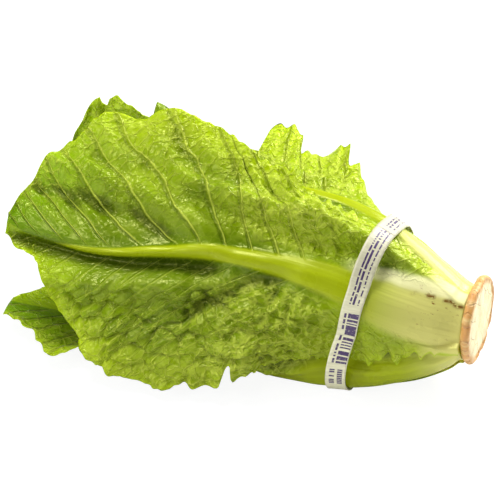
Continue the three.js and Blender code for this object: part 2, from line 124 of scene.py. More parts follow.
def station(points, place):
    """Smooth curve through given {place: value} stations, level past the two ends."""
    places = np.array(list(points), float)
    values = np.array(list(points.values()), float)
    slopes = np.zeros(len(points))
    slopes[1:-1] = (values[2:] - values[:-2]) / (places[2:] - places[:-2])
    held = np.clip(place, places[0], places[-1])
    i = np.clip(np.searchsorted(places, held, side="left") - 1, 0, len(points) - 2)
    span = places[i + 1] - places[i]
    t = (held - places[i]) / span
    t2 = t * t
    t3 = t2 * t
    return (
        values[i] * (2 * t3 - 3 * t2 + 1)
        + values[i + 1] * (3 * t2 - 2 * t3)
        + slopes[i] * span * (t3 - 2 * t2 + t)
        + slopes[i + 1] * span * (t3 - t2)
    )


def soft_max(a, b):
    """The larger of the two, rounded where they cross."""
    h = np.maximum(BLEND - np.abs(a - b), 0) / BLEND
    return np.maximum(a, b) + h * h * BLEND / 4


def soft_min(a, b):
    return -soft_max(-a, -b)


def smooth_step(low, high, x):
    t = np.clip((x - low) / (high - low), 0, 1)
    return t * t * (3 - 2 * t)


# The leaves' curves are {s: value} stations: turn in degrees, the rise of the middle line from the axis, how
# flat the section is, the midrib's place across, the reach of both margins, and the midrib's width and depth.
# A wave is (height, length, phase), and a fold is a line of (s, across) with its width and height.


def outer_leaf(folds=(), **leaf):
    return {"start": LEAF_START, "folds": folds, **leaf}


BACK_LEAF = outer_leaf(
    name="back_leaf",
    end=294,
    turn={8: -104, 100: -100, 290: -96},
    rise={8: 18, 20: 18.5, 34: 24, 50: 30, 70: 37, 100: 44, 150: 48, 200: 52, 250: 55, 286: 52},
    flat={8: 0.5, 60: 0.6, 140: 0.8, 286: 0.85},
    rib={8: 0, 286: 0},
    left={8: 15, 40: 30, 80: 40, 120: 46, 170: 52, 220: 54, 250: 50, 275: 36, 294: 3},
    right={
        8: 17, 40: 28, 80: 37, 120: 41, 170: 46, 220: 62, 241: 73, 258: 76, 266: 70, 272: 71, 280: 64,
        288: 44, 294: 5,
    },
    rib_width={8: 13, 60: 11, 140: 6, 220: 4, 286: 2},
    rib_depth={8: 1.5, 30: 3, 60: 4, 140: 3.2, 220: 2.4, 286: 1},
    wave=(4.5, 52, 0.6),
    folds=[([(90, 16), (230, 34)], 13, 4), ([(110, -18), (250, -32)], 13, 4)],
)

LOWER_LEAF = outer_leaf(
    name="lower_leaf",
    end=301,
    turn={8: 142, 100: 140, 150: 142, 200: 158, 250: 172, 301: 172},
    rise={
        8: 24.5, 14: 29.5, 20: 33.5, 32: 39.5, 44: 44, 62: 50, 82: 54.5, 107: 56.5, 131: 57, 160: 53,
        200: 48, 250: 46, 301: 42,
    },
    flat={8: 0.5, 60: 0.6, 140: 0.8, 200: 0.95, 301: 1},
    rib={8: 0, 150: 0, 220: -10, 301: -26},
    left={
        8: 14, 24: 22, 40: 30, 80: 30, 120: 27, 160: 28, 200: 38, 235: 57, 250: 66, 259: 67, 268: 58,
        280: 52, 291: 47, 301: 38,
    },
    right={8: 20, 40: 30, 80: 36, 120: 42, 170: 40, 220: 34, 260: 20, 285: 2, 301: -22},
    rib_width={8: 13, 60: 12, 140: 7, 220: 4, 301: 2},
    rib_depth={8: 1.5, 30: 3, 60: 4.5, 140: 3.6, 220: 2.4, 301: 1},
    wave=(3.5, 46, 2.1),
)

UNDER_LEAF = outer_leaf(
    name="under_leaf",
    end=262,
    turn={8: 188, 100: 186, 262: 192},
    rise={8: 24, 14: 29, 20: 32, 42: 41, 62: 49, 88: 54, 114: 50, 150: 46, 200: 48, 262: 46},
    flat={8: 0.5, 60: 0.7, 140: 0.9, 262: 0.9},
    rib={8: 0, 262: 0},
    left={8: 18, 40: 26, 80: 30, 120: 32, 160: 34, 200: 48, 230: 42, 252: 24, 262: 3},
    right={8: 20, 40: 32, 80: 38, 120: 46, 160: 50, 200: 50, 230: 42, 252: 24, 262: 3},
    rib_width={8: 12, 60: 11, 140: 6, 220: 4, 262: 2},
    rib_depth={8: 1.5, 30: 3, 60: 4, 140: 3, 220: 2.2, 262: 1},
    wave=(3, 50, 4.0),
)

TOP_LEAF = outer_leaf(
    name="top_leaf",
    end=232,
    turn={8: -6, 29: -14, 51: -18, 73: -21, 101: -23, 200: -30, 232: -34},
    rise={
        8: 19, 20: 24, 30: 29, 38: 33.5, 50: 39.5, 62: 45.5, 75: 50, 90: 53.5, 101: 55, 125: 56, 160: 56,
        205: 56, 232: 52,
    },
    flat={8: 0.5, 60: 0.6, 110: 0.75, 232: 0.85},
    rib={8: 0, 232: 0},
    left={
        8: 10, 40: 12, 62: 13, 76: 17, 86: 25, 94: 29, 101: 31, 122: 34, 140: 38, 150: 39, 157: 38, 168: 37,
        172: 32, 180: 28, 192: 27, 205: 25, 218: 17, 232: 3,
    },
    right={8: 10, 40: 14, 80: 19, 120: 23, 170: 24, 200: 20, 220: 12, 232: 3},
    rib_width={8: 10, 60: 9, 110: 6, 180: 4, 232: 2},
    rib_depth={8: 1.5, 30: 3, 60: 4, 110: 3.6, 180: 2.6, 232: 1},
    wave=(4, 44, 5.2),
    folds=[
        ([(86, -35), (125, -38), (190, -44)], 11, 20),
        ([(94, -36), (132, -39)], 9, 30),
        ([(136, -41), (194, -44)], 8, 31),
    ],
)

FRONT_LEAF = outer_leaf(
    name="front_leaf",
    end=302,
    turn={8: 50.4, 302: 50.4},
    rise={
        8: 18.5, 25: 26, 47: 33, 69: 37, 89: 39.5, 109: 41.5, 141: 44, 173: 46, 204: 46.5, 236: 45.5,
        263: 43.5, 302: 39,
    },
    flat={8: 0.6, 60: 0.75, 120: 0.85, 302: 0.9},
    rib={8: 5, 47: 3, 89: -4, 141: -7, 173: -5, 204: 1, 236: 8, 263: 9, 290: 6, 302: 2},
    left={
        8: 13, 17: 16, 29: 23, 51: 33, 73: 43, 101: 51, 120: 57, 135: 68, 156: 77, 168: 80, 185: 90,
        204: 90, 220: 88, 248: 82, 261: 71, 273: 57, 286: 39, 297: 17, 302: 4,
    },
    right={
        8: 22, 24: 28, 40: 37, 58: 51, 76: 62, 92: 71, 106: 75, 120: 70, 132: 70, 145: 76, 158: 82, 178: 84,
        190: 88, 204: 85, 227: 77, 237: 69, 246: 63, 253: 56, 260: 45, 267: 33, 273: 23, 280: 19.5,
        288: 18.5, 296: 16, 302: 9,
    },
    rib_width={8: 21, 50: 19, 90: 12, 140: 7, 200: 4.5, 260: 3, 302: 2},
    rib_depth={8: 3, 50: 4.5, 90: 5, 140: 4.2, 200: 3.2, 260: 1.6, 302: 0.5},
    wave=(3, 44, 1.2),
    folds=[
        ([(150, -12), (197, -24), (239, -34), (261, -37), (310, -42)], 8, 6),
        ([(180, -9), (224, -22), (255, -26), (310, -27)], 8, -6),
        ([(150, 2), (190, 8), (215, 13), (248, 15), (310, 11)], 6.5, -9),
        ([(165, 10), (190, 17), (216, 23), (248, 27), (310, 24)], 8, 6),
        ([(105, -4), (138, 8), (158, 25), (190, 44)], 7, -6),
        ([(-16, 2), (12, -5), (30, -14), (50, -19), (78, -24)], 8, 3.5),
    ],
)

OUTER_LEAVES = [BACK_LEAF, LOWER_LEAF, UNDER_LEAF, TOP_LEAF, FRONT_LEAF]

# Middle leaves: direction, distance from the axis at the crown, reach, and half-width at the crown
MIDDLE_LEAVES = [
    (95, 24, 262, 36), (-45, 36, 272, 31), (175, 28, 240, 36), (28, 32, 258, 35), (-110, 40, 250, 42),
]
MIDDLE_START = 15
MIDDLE_START_STEP = 1.5
MIDDLE_START_RISE = 14.5

HEART_COUNT = 5
HEART_TURN = 40
GOLDEN_ANGLE = 137.5
HEART_START = 30
HEART_END = 168
HEART_END_STEP = 14
HEART_START_RISE = 11.5
HEART_RISE = 13
HEART_WIDTH = 13
HEART_WIDTH_STEP = 1.5


def inner_leaf(kind, index, start, end, turns, side, wave, **curves):
    """A leaf with no folds and a straight midrib, with the same margin on both sides."""
    return {
        "name": f"{kind}_leaf_{index + 1}",
        "start": start,
        "end": end,
        "turn": {start: turns[0], end: turns[1]},
        "rib": {start: 0, end: 0},
        "left": side,
        "right": side,
        "wave": wave,
        "folds": (),
        **curves,
    }


def middle_leaf(index, turn, rise, end, width):
    start = MIDDLE_START + index * MIDDLE_START_STEP
    crown = {130: width * 0.7, 190: width, end - 34: width * 0.92, end - 12: width * 0.56}
    side = {start: 15, 80: 22, **crown, end: TIP_EDGE}
    return inner_leaf(
        "middle", index, start, end, (turn, turn + 6), side, (2.4, 52, 1.9 * index),
        rise={start: MIDDLE_START_RISE, 60: 24, 110: 12 + rise * 0.6, 190: rise, end: rise * 0.9},
        flat={start: 0.5, 110: 0.55, end: 0.7},
        rib_width={start: 9, 80: 7, 150: 4.5, end: 2},
        rib_depth={start: 1.5, 80: 3, 150: 2.4, end: 1},
    )


def heart_leaf(index):
    start = HEART_START
    end = HEART_END + index * HEART_END_STEP
    width = HEART_WIDTH + index * HEART_WIDTH_STEP
    turn = HEART_TURN + GOLDEN_ANGLE * index
    side = {start: 9, 80: width * 0.8, end - 40: width, end - 12: width * 0.62, end: TIP_EDGE}
    return inner_leaf(
        "heart", index, start, end, (turn, turn), side, (0.8, 48, 1.3 * index),
        rise={start: HEART_START_RISE, 90: HEART_RISE, end - 30: HEART_RISE, end: HEART_RISE - 5},
        flat={start: 0.5, end: 0.5},
        rib_width={start: 5, end: 2},
        rib_depth={start: 1.2, 90: 1.8, end: 0.8},
    )


LEAVES = [heart_leaf(index) for index in range(HEART_COUNT)]
LEAVES += [middle_leaf(index, *leaf) for index, leaf in enumerate(MIDDLE_LEAVES)]
LEAVES += OUTER_LEAVES


CURVES = ("rise", "flat", "rib", "left", "right", "rib_width", "rib_depth")


def section_of(leaf, s):
    """A leaf's cross-section at s."""
    section = {name: station(leaf[name], s) for name in CURVES}
    section["turn"] = np.radians(station(leaf["turn"], s))
    return section


def by_side(side, left, right):
    """One value left of the midrib, where side is below zero, and another right of it."""
    return np.where(side < 0, left, right)


def margin_from_rib(section, side):
    """Distance across from the midrib to the margin on the side that a place is on."""
    return by_side(side, section["left"] + section["rib"], section["right"] - section["rib"])


def past_base(at_base, leafy, s):
    """A measure that grows from the leaf bases to the leafy part."""
    return at_base + (leafy - at_base) * smooth_step(GAP_FROM, GAP_TO, s)


def turn_at(section, across):
    return section["turn"] + np.arctan(section["flat"] * across / section["rise"]) / section["flat"]


def band_place(turn, r):
    """Where the slanted band's middle line crosses the ray at turn, r out from the axis."""
    return BAND_FROM_BUTT - BAND_SLANT * r * np.cos(turn - BAND_SLANT_TURN)


def free_of_band(s, turn, r):
    """0 under the band, 1 away from it."""
    off = (s - band_place(turn, r)) / BAND_PINCH
    return 1 - np.exp(-off * off)


def fold_height(fold, s, across):
    """A ridge, or with a height below zero a valley, that runs along a few straight stretches."""
    line, width, height = fold
    nearest = np.inf
    for (from_s, from_a), (to_s, to_a) in zip(line[:-1], line[1:]):
        run_s = to_s - from_s
        run_a = to_a - from_a
        t = ((s - from_s) * run_s + (across - from_a) * run_a) / (run_s**2 + run_a**2)
        near = np.clip(t, 0, 1)
        off = (s - from_s - near * run_s) ** 2 + (across - from_a - near * run_a) ** 2
        nearest = np.minimum(nearest, off)
    fade = smooth_step(0, FOLD_FADE, s - line[0][0]) * smooth_step(0, FOLD_FADE, line[-1][0] - s)
    return height * fade * np.exp(-nearest / width**2)


def wave_height(leaf, section, s, across):
    """Waves grow from the midrib to the margin, and start past the bare petiole."""
    height, length, phase = leaf["wave"]
    side = across - section["rib"]
    out = np.minimum(np.abs(side) / np.maximum(margin_from_rib(section, side), LEAST_REACH), MOST_OUT)
    along = 2 * math.pi * s / length + phase + by_side(side, SIDE_SHIFT, 0)
    growth = smooth_step(leaf["start"] + WAVE_START, leaf["start"] + WAVE_FULL, s)
    swing = np.sin(along) + SLOW_SHARE * np.sin(SLOW_WAVE * along + SLOW_SHIFT)
    return height * growth * out**3 * swing


def free_leaf(leaf, s, turn):
    """One leaf on the rays at s and turn, before its neighbours are looked at."""
    section = section_of(leaf, s)
    off = turn - section["turn"]
    off = off - 2 * math.pi * np.round(off / (2 * math.pi))
    bend = section["flat"] * off
    facing = np.abs(bend) < FACING_LIMIT
    across = np.where(
        facing,
        section["rise"] * np.tan(np.where(facing, bend, 0)) / section["flat"],
        FAR_ACROSS * np.sign(bend),
    )
    hold = past_base(BASE_HOLD, LEAFY_HOLD, s)
    held = np.minimum(np.maximum(across, -section["left"] - hold), section["right"] + hold)
    obliquity = np.hypot(1, section["flat"] * held / section["rise"])
    plain = section["rise"] * obliquity
    shape = wave_height(leaf, section, s, held)
    for fold in leaf["folds"]:
        shape = shape + fold_height(fold, s, held)
    rib_off = (held - section["rib"]) / section["rib_width"]
    side_past = np.maximum(np.maximum(across - section["right"], -section["left"] - across), 0)
    end_past = np.maximum(np.maximum(s - leaf["end"], leaf["start"] - s), 0)
    return {
        "radius": plain,
        "shape": shape * free_of_band(s, turn, plain),
        "thick": BLADE * obliquity + section["rib_depth"] * np.exp(-RIB_FALL * rib_off**2),
        "cover": 1 - smooth_step(hold, hold * (1 + MARGIN_FADE), np.hypot(side_past, end_past)),
        "inside": np.maximum(side_past, end_past) < MARGIN_REACH,
    }


def limit_radius(s, turn):
    """Distance to the surface below, or to where the band draws the leaves in at the front."""
    past = np.abs(s - REST_FROM_BUTT) - REST_HALF_LENGTH
    height = AXIS_HEIGHT - REST_LIFT * smooth_step(0, REST_FADE, past)
    below = height / np.maximum(-np.cos(turn), LEAST_DOWN)
    front = station(FRONT_LIMIT, s) / np.maximum(np.sin(turn), LEAST_DOWN)
    return soft_min(below, front)


def stack(s, turn):
    """All the leaves on the rays, each held clear of the ones inside it and of the surface below."""
    gap = past_base(BASE_GAP, LEAFY_GAP, s)
    layers = [free_leaf(leaf, s, turn) for leaf in LEAVES]
    covered = 0
    for layer in reversed(layers):
        layer["radius"] = layer["radius"] + layer["shape"] * (1 - PRESSED * covered)
        layer["covered"] = covered
        covered = np.maximum(covered, layer["cover"])
    for k, layer in enumerate(layers):
        for inner in layers[:k]:
            drop = MARGIN_DROP * (1 - inner["cover"]) / (inner["cover"] + LEAST_HOLD)
            layer["radius"] = soft_max(layer["radius"], inner["radius"] + inner["thick"] + gap - drop)
    ceiling = limit_radius(s, turn)
    for layer in reversed(layers):
        layer["radius"] = soft_min(layer["radius"], ceiling - layer["thick"])
        ceiling = ceiling - layer["cover"] * (layer["thick"] + gap)
    return layers


def place(s, turn, r):
    """The point at s, turn and r in the frame's axes."""
    return np.stack([REST_FROM_BUTT - s, -r * np.sin(turn), AXIS_HEIGHT + r * np.cos(turn)], axis=-1)


# ----- Repeatable noise

CHANCE_STEPS = (127.1, 311.7, 74.7)
CHANCE_SIZE = 43758.5453
CELL_JITTER = 0.85
FINER = 2.03  # how much finer each layer of noise is than the one before


def chance(ix, iy, seed):
    """A number from 0 to 1 that looks random, the same each time for the same two whole numbers."""
    wave = np.sin(ix * CHANCE_STEPS[0] + iy * CHANCE_STEPS[1] + seed * CHANCE_STEPS[2]) * CHANCE_SIZE
    return wave - np.floor(wave)


def soft_noise(x, y, seed):
    """Smooth noise from -1 to 1, about one bump a unit."""
    ix, iy = np.floor(x), np.floor(y)
    fx, fy = smooth_step(0, 1, x - ix), smooth_step(0, 1, y - iy)
    low = chance(ix, iy, seed) * (1 - fx) + chance(ix + 1, iy, seed) * fx
    high = chance(ix, iy + 1, seed) * (1 - fx) + chance(ix + 1, iy + 1, seed) * fx
    return 2 * (low * (1 - fy) + high * fy) - 1


def layered_noise(x, y, seed, layers):
    total, height, scale = 0, 1.0, 1.0
    for layer in range(layers):
        total = total + height * soft_noise(x * scale, y * scale, seed + 17 * layer)
        height, scale = height * 0.5, scale * FINER
    return total


def cell_edge(x, y, seed):
    """How far a place is from the nearest wall of scattered cells one unit wide: 0 on a wall."""
    ix, iy = np.floor(x), np.floor(y)
    nearest = np.full(np.shape(x), 9.0)
    second = np.full(np.shape(x), 9.0)
    for dx in (-1, 0, 1):
        for dy in (-1, 0, 1):
            cx = ix + dx + 0.5 + CELL_JITTER * (chance(ix + dx, iy + dy, seed) - 0.5)
            cy = iy + dy + 0.5 + CELL_JITTER * (chance(ix + dx, iy + dy, seed + 3.3) - 0.5)
            far = np.hypot(cx - x, cy - y)
            second = np.where(far < nearest, nearest, np.minimum(second, far))
            nearest = np.minimum(nearest, far)
    return second - nearest


# ----- Veins and relief of the blade
# A pair of values is for the left and the right of the midrib. The front leaf's left side is its upper one.

SIDE_VEIN_SPACING = 17  # where the side veins leave the midrib
UNEVEN_VEINS = 5.0  # how uneven their steps are
# How far a side vein runs on towards the tip for each step out, by s
LEAN_LEFT = {60: 0.9, 110: 0.8, 140: 0.5, 165: 0.8, 200: 1.15, 240: 1.5, 300: 2.1}
LEAN_RIGHT = {60: 1.2, 120: 1.5, 160: 1.35, 220: 1.3, 300: 1.6}
FOLLOW_STEPS = 6  # rounds that trace a place back along its vein to the midrib
TRACE_STEP = 1.0
LEAST_SLOPE = 0.35

PLEAT_HEIGHT = (1.3, 0.8)
CRINKLED = {"top_leaf": 0.9, "back_leaf": 0.9, "lower_leaf": 0.4}  # crinkles all over a leaf
PLAIN_CRINKLED = 0.25
BAND_CRINKLED = 1.2  # crinkles that the band presses into the leaves
CRINKLES_FROM_BUTT = 118
CRINKLES_SPREAD = 34
RIDGE_HEIGHT = 1.3
FINE_RIDGE_HEIGHT = 0.6
SWELL_HEIGHT = 0.9
BLISTER_HEIGHT = (-1.3, 5.0)


def vein_place(section, s, across, seed):
    """Where the vein through a place leaves the midrib, and how far out the place is and on which side."""
    side = across - section["rib"]
    out = np.abs(side)
    wander = 2.6 * soft_noise(s / 37, out / 26, seed) + 0.8 * soft_noise(s / 13, out / 10, seed + 5)
    target = s + wander
    run = target.copy()
    for _ in range(FOLLOW_STEPS):
        lean, ahead = (
            by_side(side, station(LEAN_LEFT, at), station(LEAN_RIGHT, at)) for at in (run, run + TRACE_STEP)
        )
        slope = np.maximum(1 + (ahead - lean) / TRACE_STEP * out, LEAST_SLOPE)
        run = run - (run + lean * out - target) / slope
    run = run + UNEVEN_VEINS * soft_noise(run / 27, by_side(side, 1.5, 8.5), seed + 12)
    return run, out, side


def walked(s, turn, radius, rib_off):
    """Distance from the midrib as walked over the surface, with the folds; below zero on the left side."""
    spots = place(s, turn, radius)
    steps = np.linalg.norm(np.diff(spots, axis=1), axis=2)
    far = np.concatenate([np.zeros((len(s), 1)), np.cumsum(steps, axis=1)], axis=1)
    at_rib = far[np.arange(len(s)), np.argmin(np.abs(rib_off), axis=1)]
    return far - at_rib[:, None]


def pleats(run, out, side, share, seed):
    """Folds between the side veins, highest half-way out and flatter beside the margin."""
    flip = by_side(side, 1.0, 2.0)
    phase = run / SIDE_VEIN_SPACING + 0.37 * flip
    pleat = np.cos(2 * math.pi * phase) + 0.35 * np.cos(4 * math.pi * phase + 1.1)
    strength = 0.85 + 0.5 * soft_noise(run / 33, out / 31 + 4.7 * flip, seed + 21)
    fade = 1 - 0.55 * smooth_step(0.7, 1.0, share)
    return by_side(side, *PLEAT_HEIGHT) * smooth_step(4, 26, out) * strength * fade * pleat


def crinkles(run, s, real, side, seed):
    """Ridges a little longer along the veins than across them."""
    flip = by_side(side, 1.0, 2.0)
    sway = 0.5 * soft_noise(s / 16, real / 16, seed + 27)
    lane = by_side(side, run, 0.75 * s + 0.25 * run)
    ridged = 1 - 1.9 * np.abs(soft_noise(lane / 13 + sway, np.abs(real) / 9, seed + 31 + flip))
    finer = 1 - 1.9 * np.abs(soft_noise(lane / 6.5 - sway, np.abs(real) / 5, seed + 47 + flip))
    return RIDGE_HEIGHT * ridged + FINE_RIDGE_HEIGHT * finer


def blisters(out, s, real, side, seed):
    """Between its net of veins the blade sinks in left of the midrib, and stands out right of it."""
    flip = by_side(side, 1.0, 2.0)
    bend = 0.35 * soft_noise(s / 12, real / 12, seed + 9)
    edge = cell_edge(s / 16 + bend, real / 13 - bend, seed + flip)
    blister = 0.5 + 0.5 * soft_noise(s / 24, real / 24, seed + 15)
    bulge = np.sqrt(smooth_step(-0.02, 0.55, edge)) - 0.6
    return by_side(side, *BLISTER_HEIGHT) * (0.35 + 0.65 * blister) * smooth_step(10, 30, out) * bulge


def blade_relief(leaf, section, s, across, real, seed):
    """Height of the blade's relief, with the places and shares that its marks are made from."""
    run, out, side = vein_place(section, s, across, seed)
    share = np.clip(out / np.maximum(margin_from_rib(section, side), LEAST_REACH), 0, 1)
    near_band = np.exp(-(((s - CRINKLES_FROM_BUTT) / CRINKLES_SPREAD) ** 2))
    zone = CRINKLED.get(leaf["name"], PLAIN_CRINKLED) + BAND_CRINKLED * near_band
    zone = (zone + 0.25 * smooth_step(0.55, 0.95, share)) * smooth_step(6, 20, out)
    swell = 1.9 * soft_noise(s / 20, real / 16, seed + 60)
    height = pleats(run, out, side, share, seed) + zone * crinkles(run, s, real, side, seed)
    height = height + SWELL_HEIGHT * smooth_step(4, 26, out) * swell + blisters(out, s, real, side, seed)
    leafy = smooth_step(leaf["start"] + 22, leaf["start"] + 80, s)
    return {
        "height": height * (1 - 0.6 * smooth_step(0.8, 1.0, share)) * leafy,
        "crinkled": zone * leafy,
        "run": run,
        "out": out,
        "side": side,
        "share": share,
    }


# ----- Margins

RUFFLE_LENGTH = 9.5
RUFFLE_REACH = 7.5  # how far in from the margin the ruffles run

# How much of the teeth the left and the right margin of a leaf have
TEETH = {
    "front_leaf": (0.9, 0.6),
    "top_leaf": (0.0, 0.5),
    "back_leaf": (1.8, 2.0),
    "lower_leaf": (1.1, 0.1),
    "under_leaf": (0.0, 0.0),
}
PLAIN_TEETH = (0.8, 0.8)
TEETH_FROM = {"front_leaf": 16, "top_leaf": 72}  # how far from its start a leaf's margin stays plain
PLAIN_UP_TO = 70
TEETH_GROW = 24
TOOTH_LENGTH = 9.5
TOOTH_PEAK = 0.7  # share of a tooth's length up to its point
LOW_TEETH_HEIGHT = 6.0
TIP_FADE = 14

# Places where a margin is cut in, or with a depth below zero stands out: (s, width, depth)
LEFT_NOTCHES = {
    "top_leaf": [(180, 9, 9), (142, 3, 3), (123, 4, -3), (107, 4, 3)],
    "front_leaf": [(268, 4, 2.5), (232, 5, 2)],
    "lower_leaf": [(276, 2.5, 3), (288, 2, 2)],
}
RIGHT_NOTCHES = {
    "front_leaf": [(143, 3.2, 13), (171, 5, 3), (98, 3, 4), (223, 3, 2)],
    "back_leaf": [(268, 2.2, 4), (283, 3, 4), (240, 3, 3)],
}

# Long teeth of the front leaf's right margin: (s, reach, run towards the butt, run towards the tip)
LONG_TEETH = [
    (21, 6, 3, 2), (29.5, 10, 4, 2), (43, 13, 5, 2.2), (61, 11, 5, 2.2), (69, 6, 3, 2), (80, 5, 4, 2),
    (91, 9, 4, 2.5), (99, 8, 3, 2.5), (106.5, 5, 4, 3), (118, 5, 6, 2),
]
LONG_TEETH_DIP = 3.0  # how far the margin between the long teeth falls back


def ruffle(s, out, half, side, begin, seed):
    """Short waves of the last stretch before the margin."""
    near = np.exp(-(np.maximum(half - out, 0) / RUFFLE_REACH) ** 2)
    flip = by_side(side, 0.0, 40.0)
    wave = np.sin(2 * math.pi * (s / RUFFLE_LENGTH + 0.8 * soft_noise(s / 15, flip, seed + 70)))
    frill = 1 - smooth_step(125, 190, s)
    swell = 0.4 + 0.6 * (0.5 + 0.5 * soft_noise(s / 26, flip + 3.1, seed + 71))
    return near * wave * swell * (0.8 + 1.4 * frill) * begin


def long_teeth(s):
    reach = 0 * s
    for at, tall, run_down, run_up in LONG_TEETH:
        off = s - at
        reach = np.maximum(reach, tall * np.exp(-np.abs(off) / np.where(off < 0, run_down, run_up)))
    return (reach - LONG_TEETH_DIP) * smooth_step(12, 24, s) * smooth_step(130, 118, s)


def margin_teeth(s, seed, begin, share, notches):
    """How far a margin stands out past its plain outline: hooked teeth low down, small ones beyond."""
    level = 0 * s + seed
    saw = s / TOOTH_LENGTH + 0.9 * soft_noise(s / 15, level + 2.7, seed + 3)
    saw = saw - np.floor(saw)
    hook = np.where(saw < TOOTH_PEAK, (saw / TOOTH_PEAK) ** 1.6, (1 - saw) / (1 - TOOTH_PEAK)) - 0.5
    size = 0.75 + 0.5 * soft_noise(s / 13, level + 6.1, seed + 8)
    deep = 1.6 * layered_noise(s / 9, level, seed, 2) + LOW_TEETH_HEIGHT * size * hook
    shallow = 0.9 * layered_noise(s / 17, level, seed + 30, 3) + 0.8 * hook * size
    low = 1 - smooth_step(118, 160, s)
    cut = 0
    for at, width, depth in notches:
        cut = cut + depth * np.exp(-(((s - at) / width) ** 4))
    return share * begin * (low * deep + (1 - low) * shallow) - cut


def toothed_half(leaf, section, s, u, begin, seed):
    """Distance across from the midrib to the toothed margin on the side that a place is on."""
    name = leaf["name"]
    left_share, right_share = TEETH.get(name, PLAIN_TEETH)
    teeth = by_side(
        u,
        margin_teeth(s, seed + 1, begin, left_share, LEFT_NOTCHES.get(name, [])),
        margin_teeth(s, seed + 2, begin, right_share, RIGHT_NOTCHES.get(name, [])),
    )
    if name == "front_leaf":
        teeth = teeth + by_side(u, 0, long_teeth(s))
    near_margin = smooth_step(0.55, 1.0, np.abs(u))
    return margin_from_rib(section, u) + teeth * near_margin * smooth_step(0, TIP_FADE, leaf["end"] - s)


# ----- Meshes

MAP_UNIT = 100  # millimetres to one unit of a map


def new_mesh(name, points, quads, maps=None, marks=None, smooth=True):
    """A mesh piece from points in millimetres and four-cornered faces, with its maps and marks by name."""
    mesh = bpy.data.meshes.new(name)
    quads = np.asarray(quads, np.int32)
    mesh.vertices.add(len(points))
    mesh.vertices.foreach_set("co", (np.asarray(points, np.float64) * MM).ravel())
    mesh.loops.add(quads.size)
    mesh.loops.foreach_set("vertex_index", quads.ravel())
    mesh.polygons.add(len(quads))
    mesh.polygons.foreach_set("loop_start", np.arange(0, quads.size, 4, dtype=np.int32))
    mesh.polygons.foreach_set("use_smooth", np.full(len(quads), smooth))
    for label, values in (maps or {}).items():
        layer = mesh.uv_layers.new(name=label)
        layer.data.foreach_set("uv", np.asarray(values, np.float64).reshape(-1, 2)[quads.ravel()].ravel())
    for label, values in (marks or {}).items():
        layer = mesh.color_attributes.new(label, "FLOAT_COLOR", "POINT")
        layer.data.foreach_set("color", np.asarray(values, np.float64).ravel())
    mesh.update(calc_edges=True)
    mesh.validate()
    piece = bpy.data.objects.new(name, mesh)
    bpy.context.scene.collection.objects.link(piece)
    return piece


def grid_cells(rows, columns, closed=False):
    """Four corners of each cell of a grid of points. The rows of a closed grid are rings."""
    cells_in_row = columns if closed else columns - 1
    row, column = np.meshgrid(np.arange(rows - 1), np.arange(cells_in_row), indexing="ij")
    a = (row * columns + column).ravel()
    b = (row * columns + (column + 1) % columns).ravel()
    return np.stack([a, a + columns, b + columns, b], axis=1)


def sheet_quads(rows, columns, closed=False):
    """Faces of a solid sheet: a grid of points on each side, joined round the rim."""
    count = rows * columns
    cells = grid_cells(rows, columns, closed)
    turned = cells[:, [0, 3, 2, 1]]

    def wall(a, b):
        return np.stack([a, b, b + count, a + count], axis=1)

    if closed:
        first = np.arange(columns)
        after = (first + 1) % columns
        to_last = (rows - 1) * columns
        rims = [wall(first, after), wall(after + to_last, first + to_last)]
        return np.concatenate([turned + count, cells, *rims])
    left = np.arange(rows - 1) * columns
    right = left + columns - 1
    first = np.arange(columns - 1)
    last = first + (rows - 1) * columns
    sides = [wall(left, left + columns), wall(right + columns, right)]
    rims = [*sides, wall(first + 1, first), wall(last, last + 1)]
    return np.concatenate([turned, cells + count, *rims])


# ----- Leaf meshes

EDGE_WIDTH = 2.2
SCAR = {4: -4.5, 22: -6, 46: -7}  # {s: across} of the brown scars on the front leaf's stalk
STRIP = {8: -9.5, 22: -11, 60: -14, 92: -17}  # {s: across} of the pale strip beside them
STRIP_WIDTH = 4.2
FRILL = (0.1, 0.35)  # how much more like a margin the front leaf's sides are beside the band
PLAIN_PAINTED_SHADOW = 0.3  # painted shadow: how much darker a leaf's colour is made where another leaf lies over it
# Painted shadow of single leaves, stronger on the lower leaf where the front leaf's margin lies over it
PAINTED_SHADOW = {"lower_leaf": 0.7}
STALK_LENGTH = 150  # how far a leaf's pale stretch beside the butt fades out
STALK_SHORT = {"lower_leaf": 30}  # how much shorter it is
STALK_SPREAD = {"lower_leaf": 2.3}  # how much wider than its thick rib a leaf's stalk colour is
RIGHT_MAP_SHIFT = 3  # the right side's veins are this far along in the map
RIGHT_STEP = (RIGHT_MAP_SHIFT - 0.04, RIGHT_MAP_SHIFT + 0.04)  # a step that tells the two sides apart


def rib_and_stalk(leaf, s, rib_off):
    """How much of a place is thick midrib, and how much has the stalk's colour."""
    keep = 1 - 0.9 * smooth_step(0.78, 0.93, s / leaf["end"])
    spread = 1 + (STALK_SPREAD.get(leaf["name"], 1) - 1) * (1 - smooth_step(90, 160, s))
    return [np.exp(-RIB_FALL * (rib_off / width) ** 2) * keep for width in (1, spread)]


def front_leaf_marks(s, across, blade):
    """The pale strip and the scars on the front leaf's stalk, and its frilled sides beside the band."""
    off_strip = (across - station(STRIP, s) + 0.8 * soft_noise(s / 9, across / 5, 3)) / STRIP_WIDTH
    strip = np.exp(-(off_strip**4)) * smooth_step(88, 66, s)
    off_scar = across - station(SCAR, s) + 1.2 * soft_noise(s / 4, 0 * s, 5)
    broken = smooth_step(-0.25, 0.2, soft_noise(s / 5.5, 0 * s, 12))
    scar = np.exp(-(off_scar**2)) * broken * smooth_step(42, 36, s)
    near_band = np.exp(-(((s - 100) / 20) ** 2))
    return strip, scar, by_side(blade["side"], *FRILL) * near_band * smooth_step(0.3, 0.6, blade["share"])


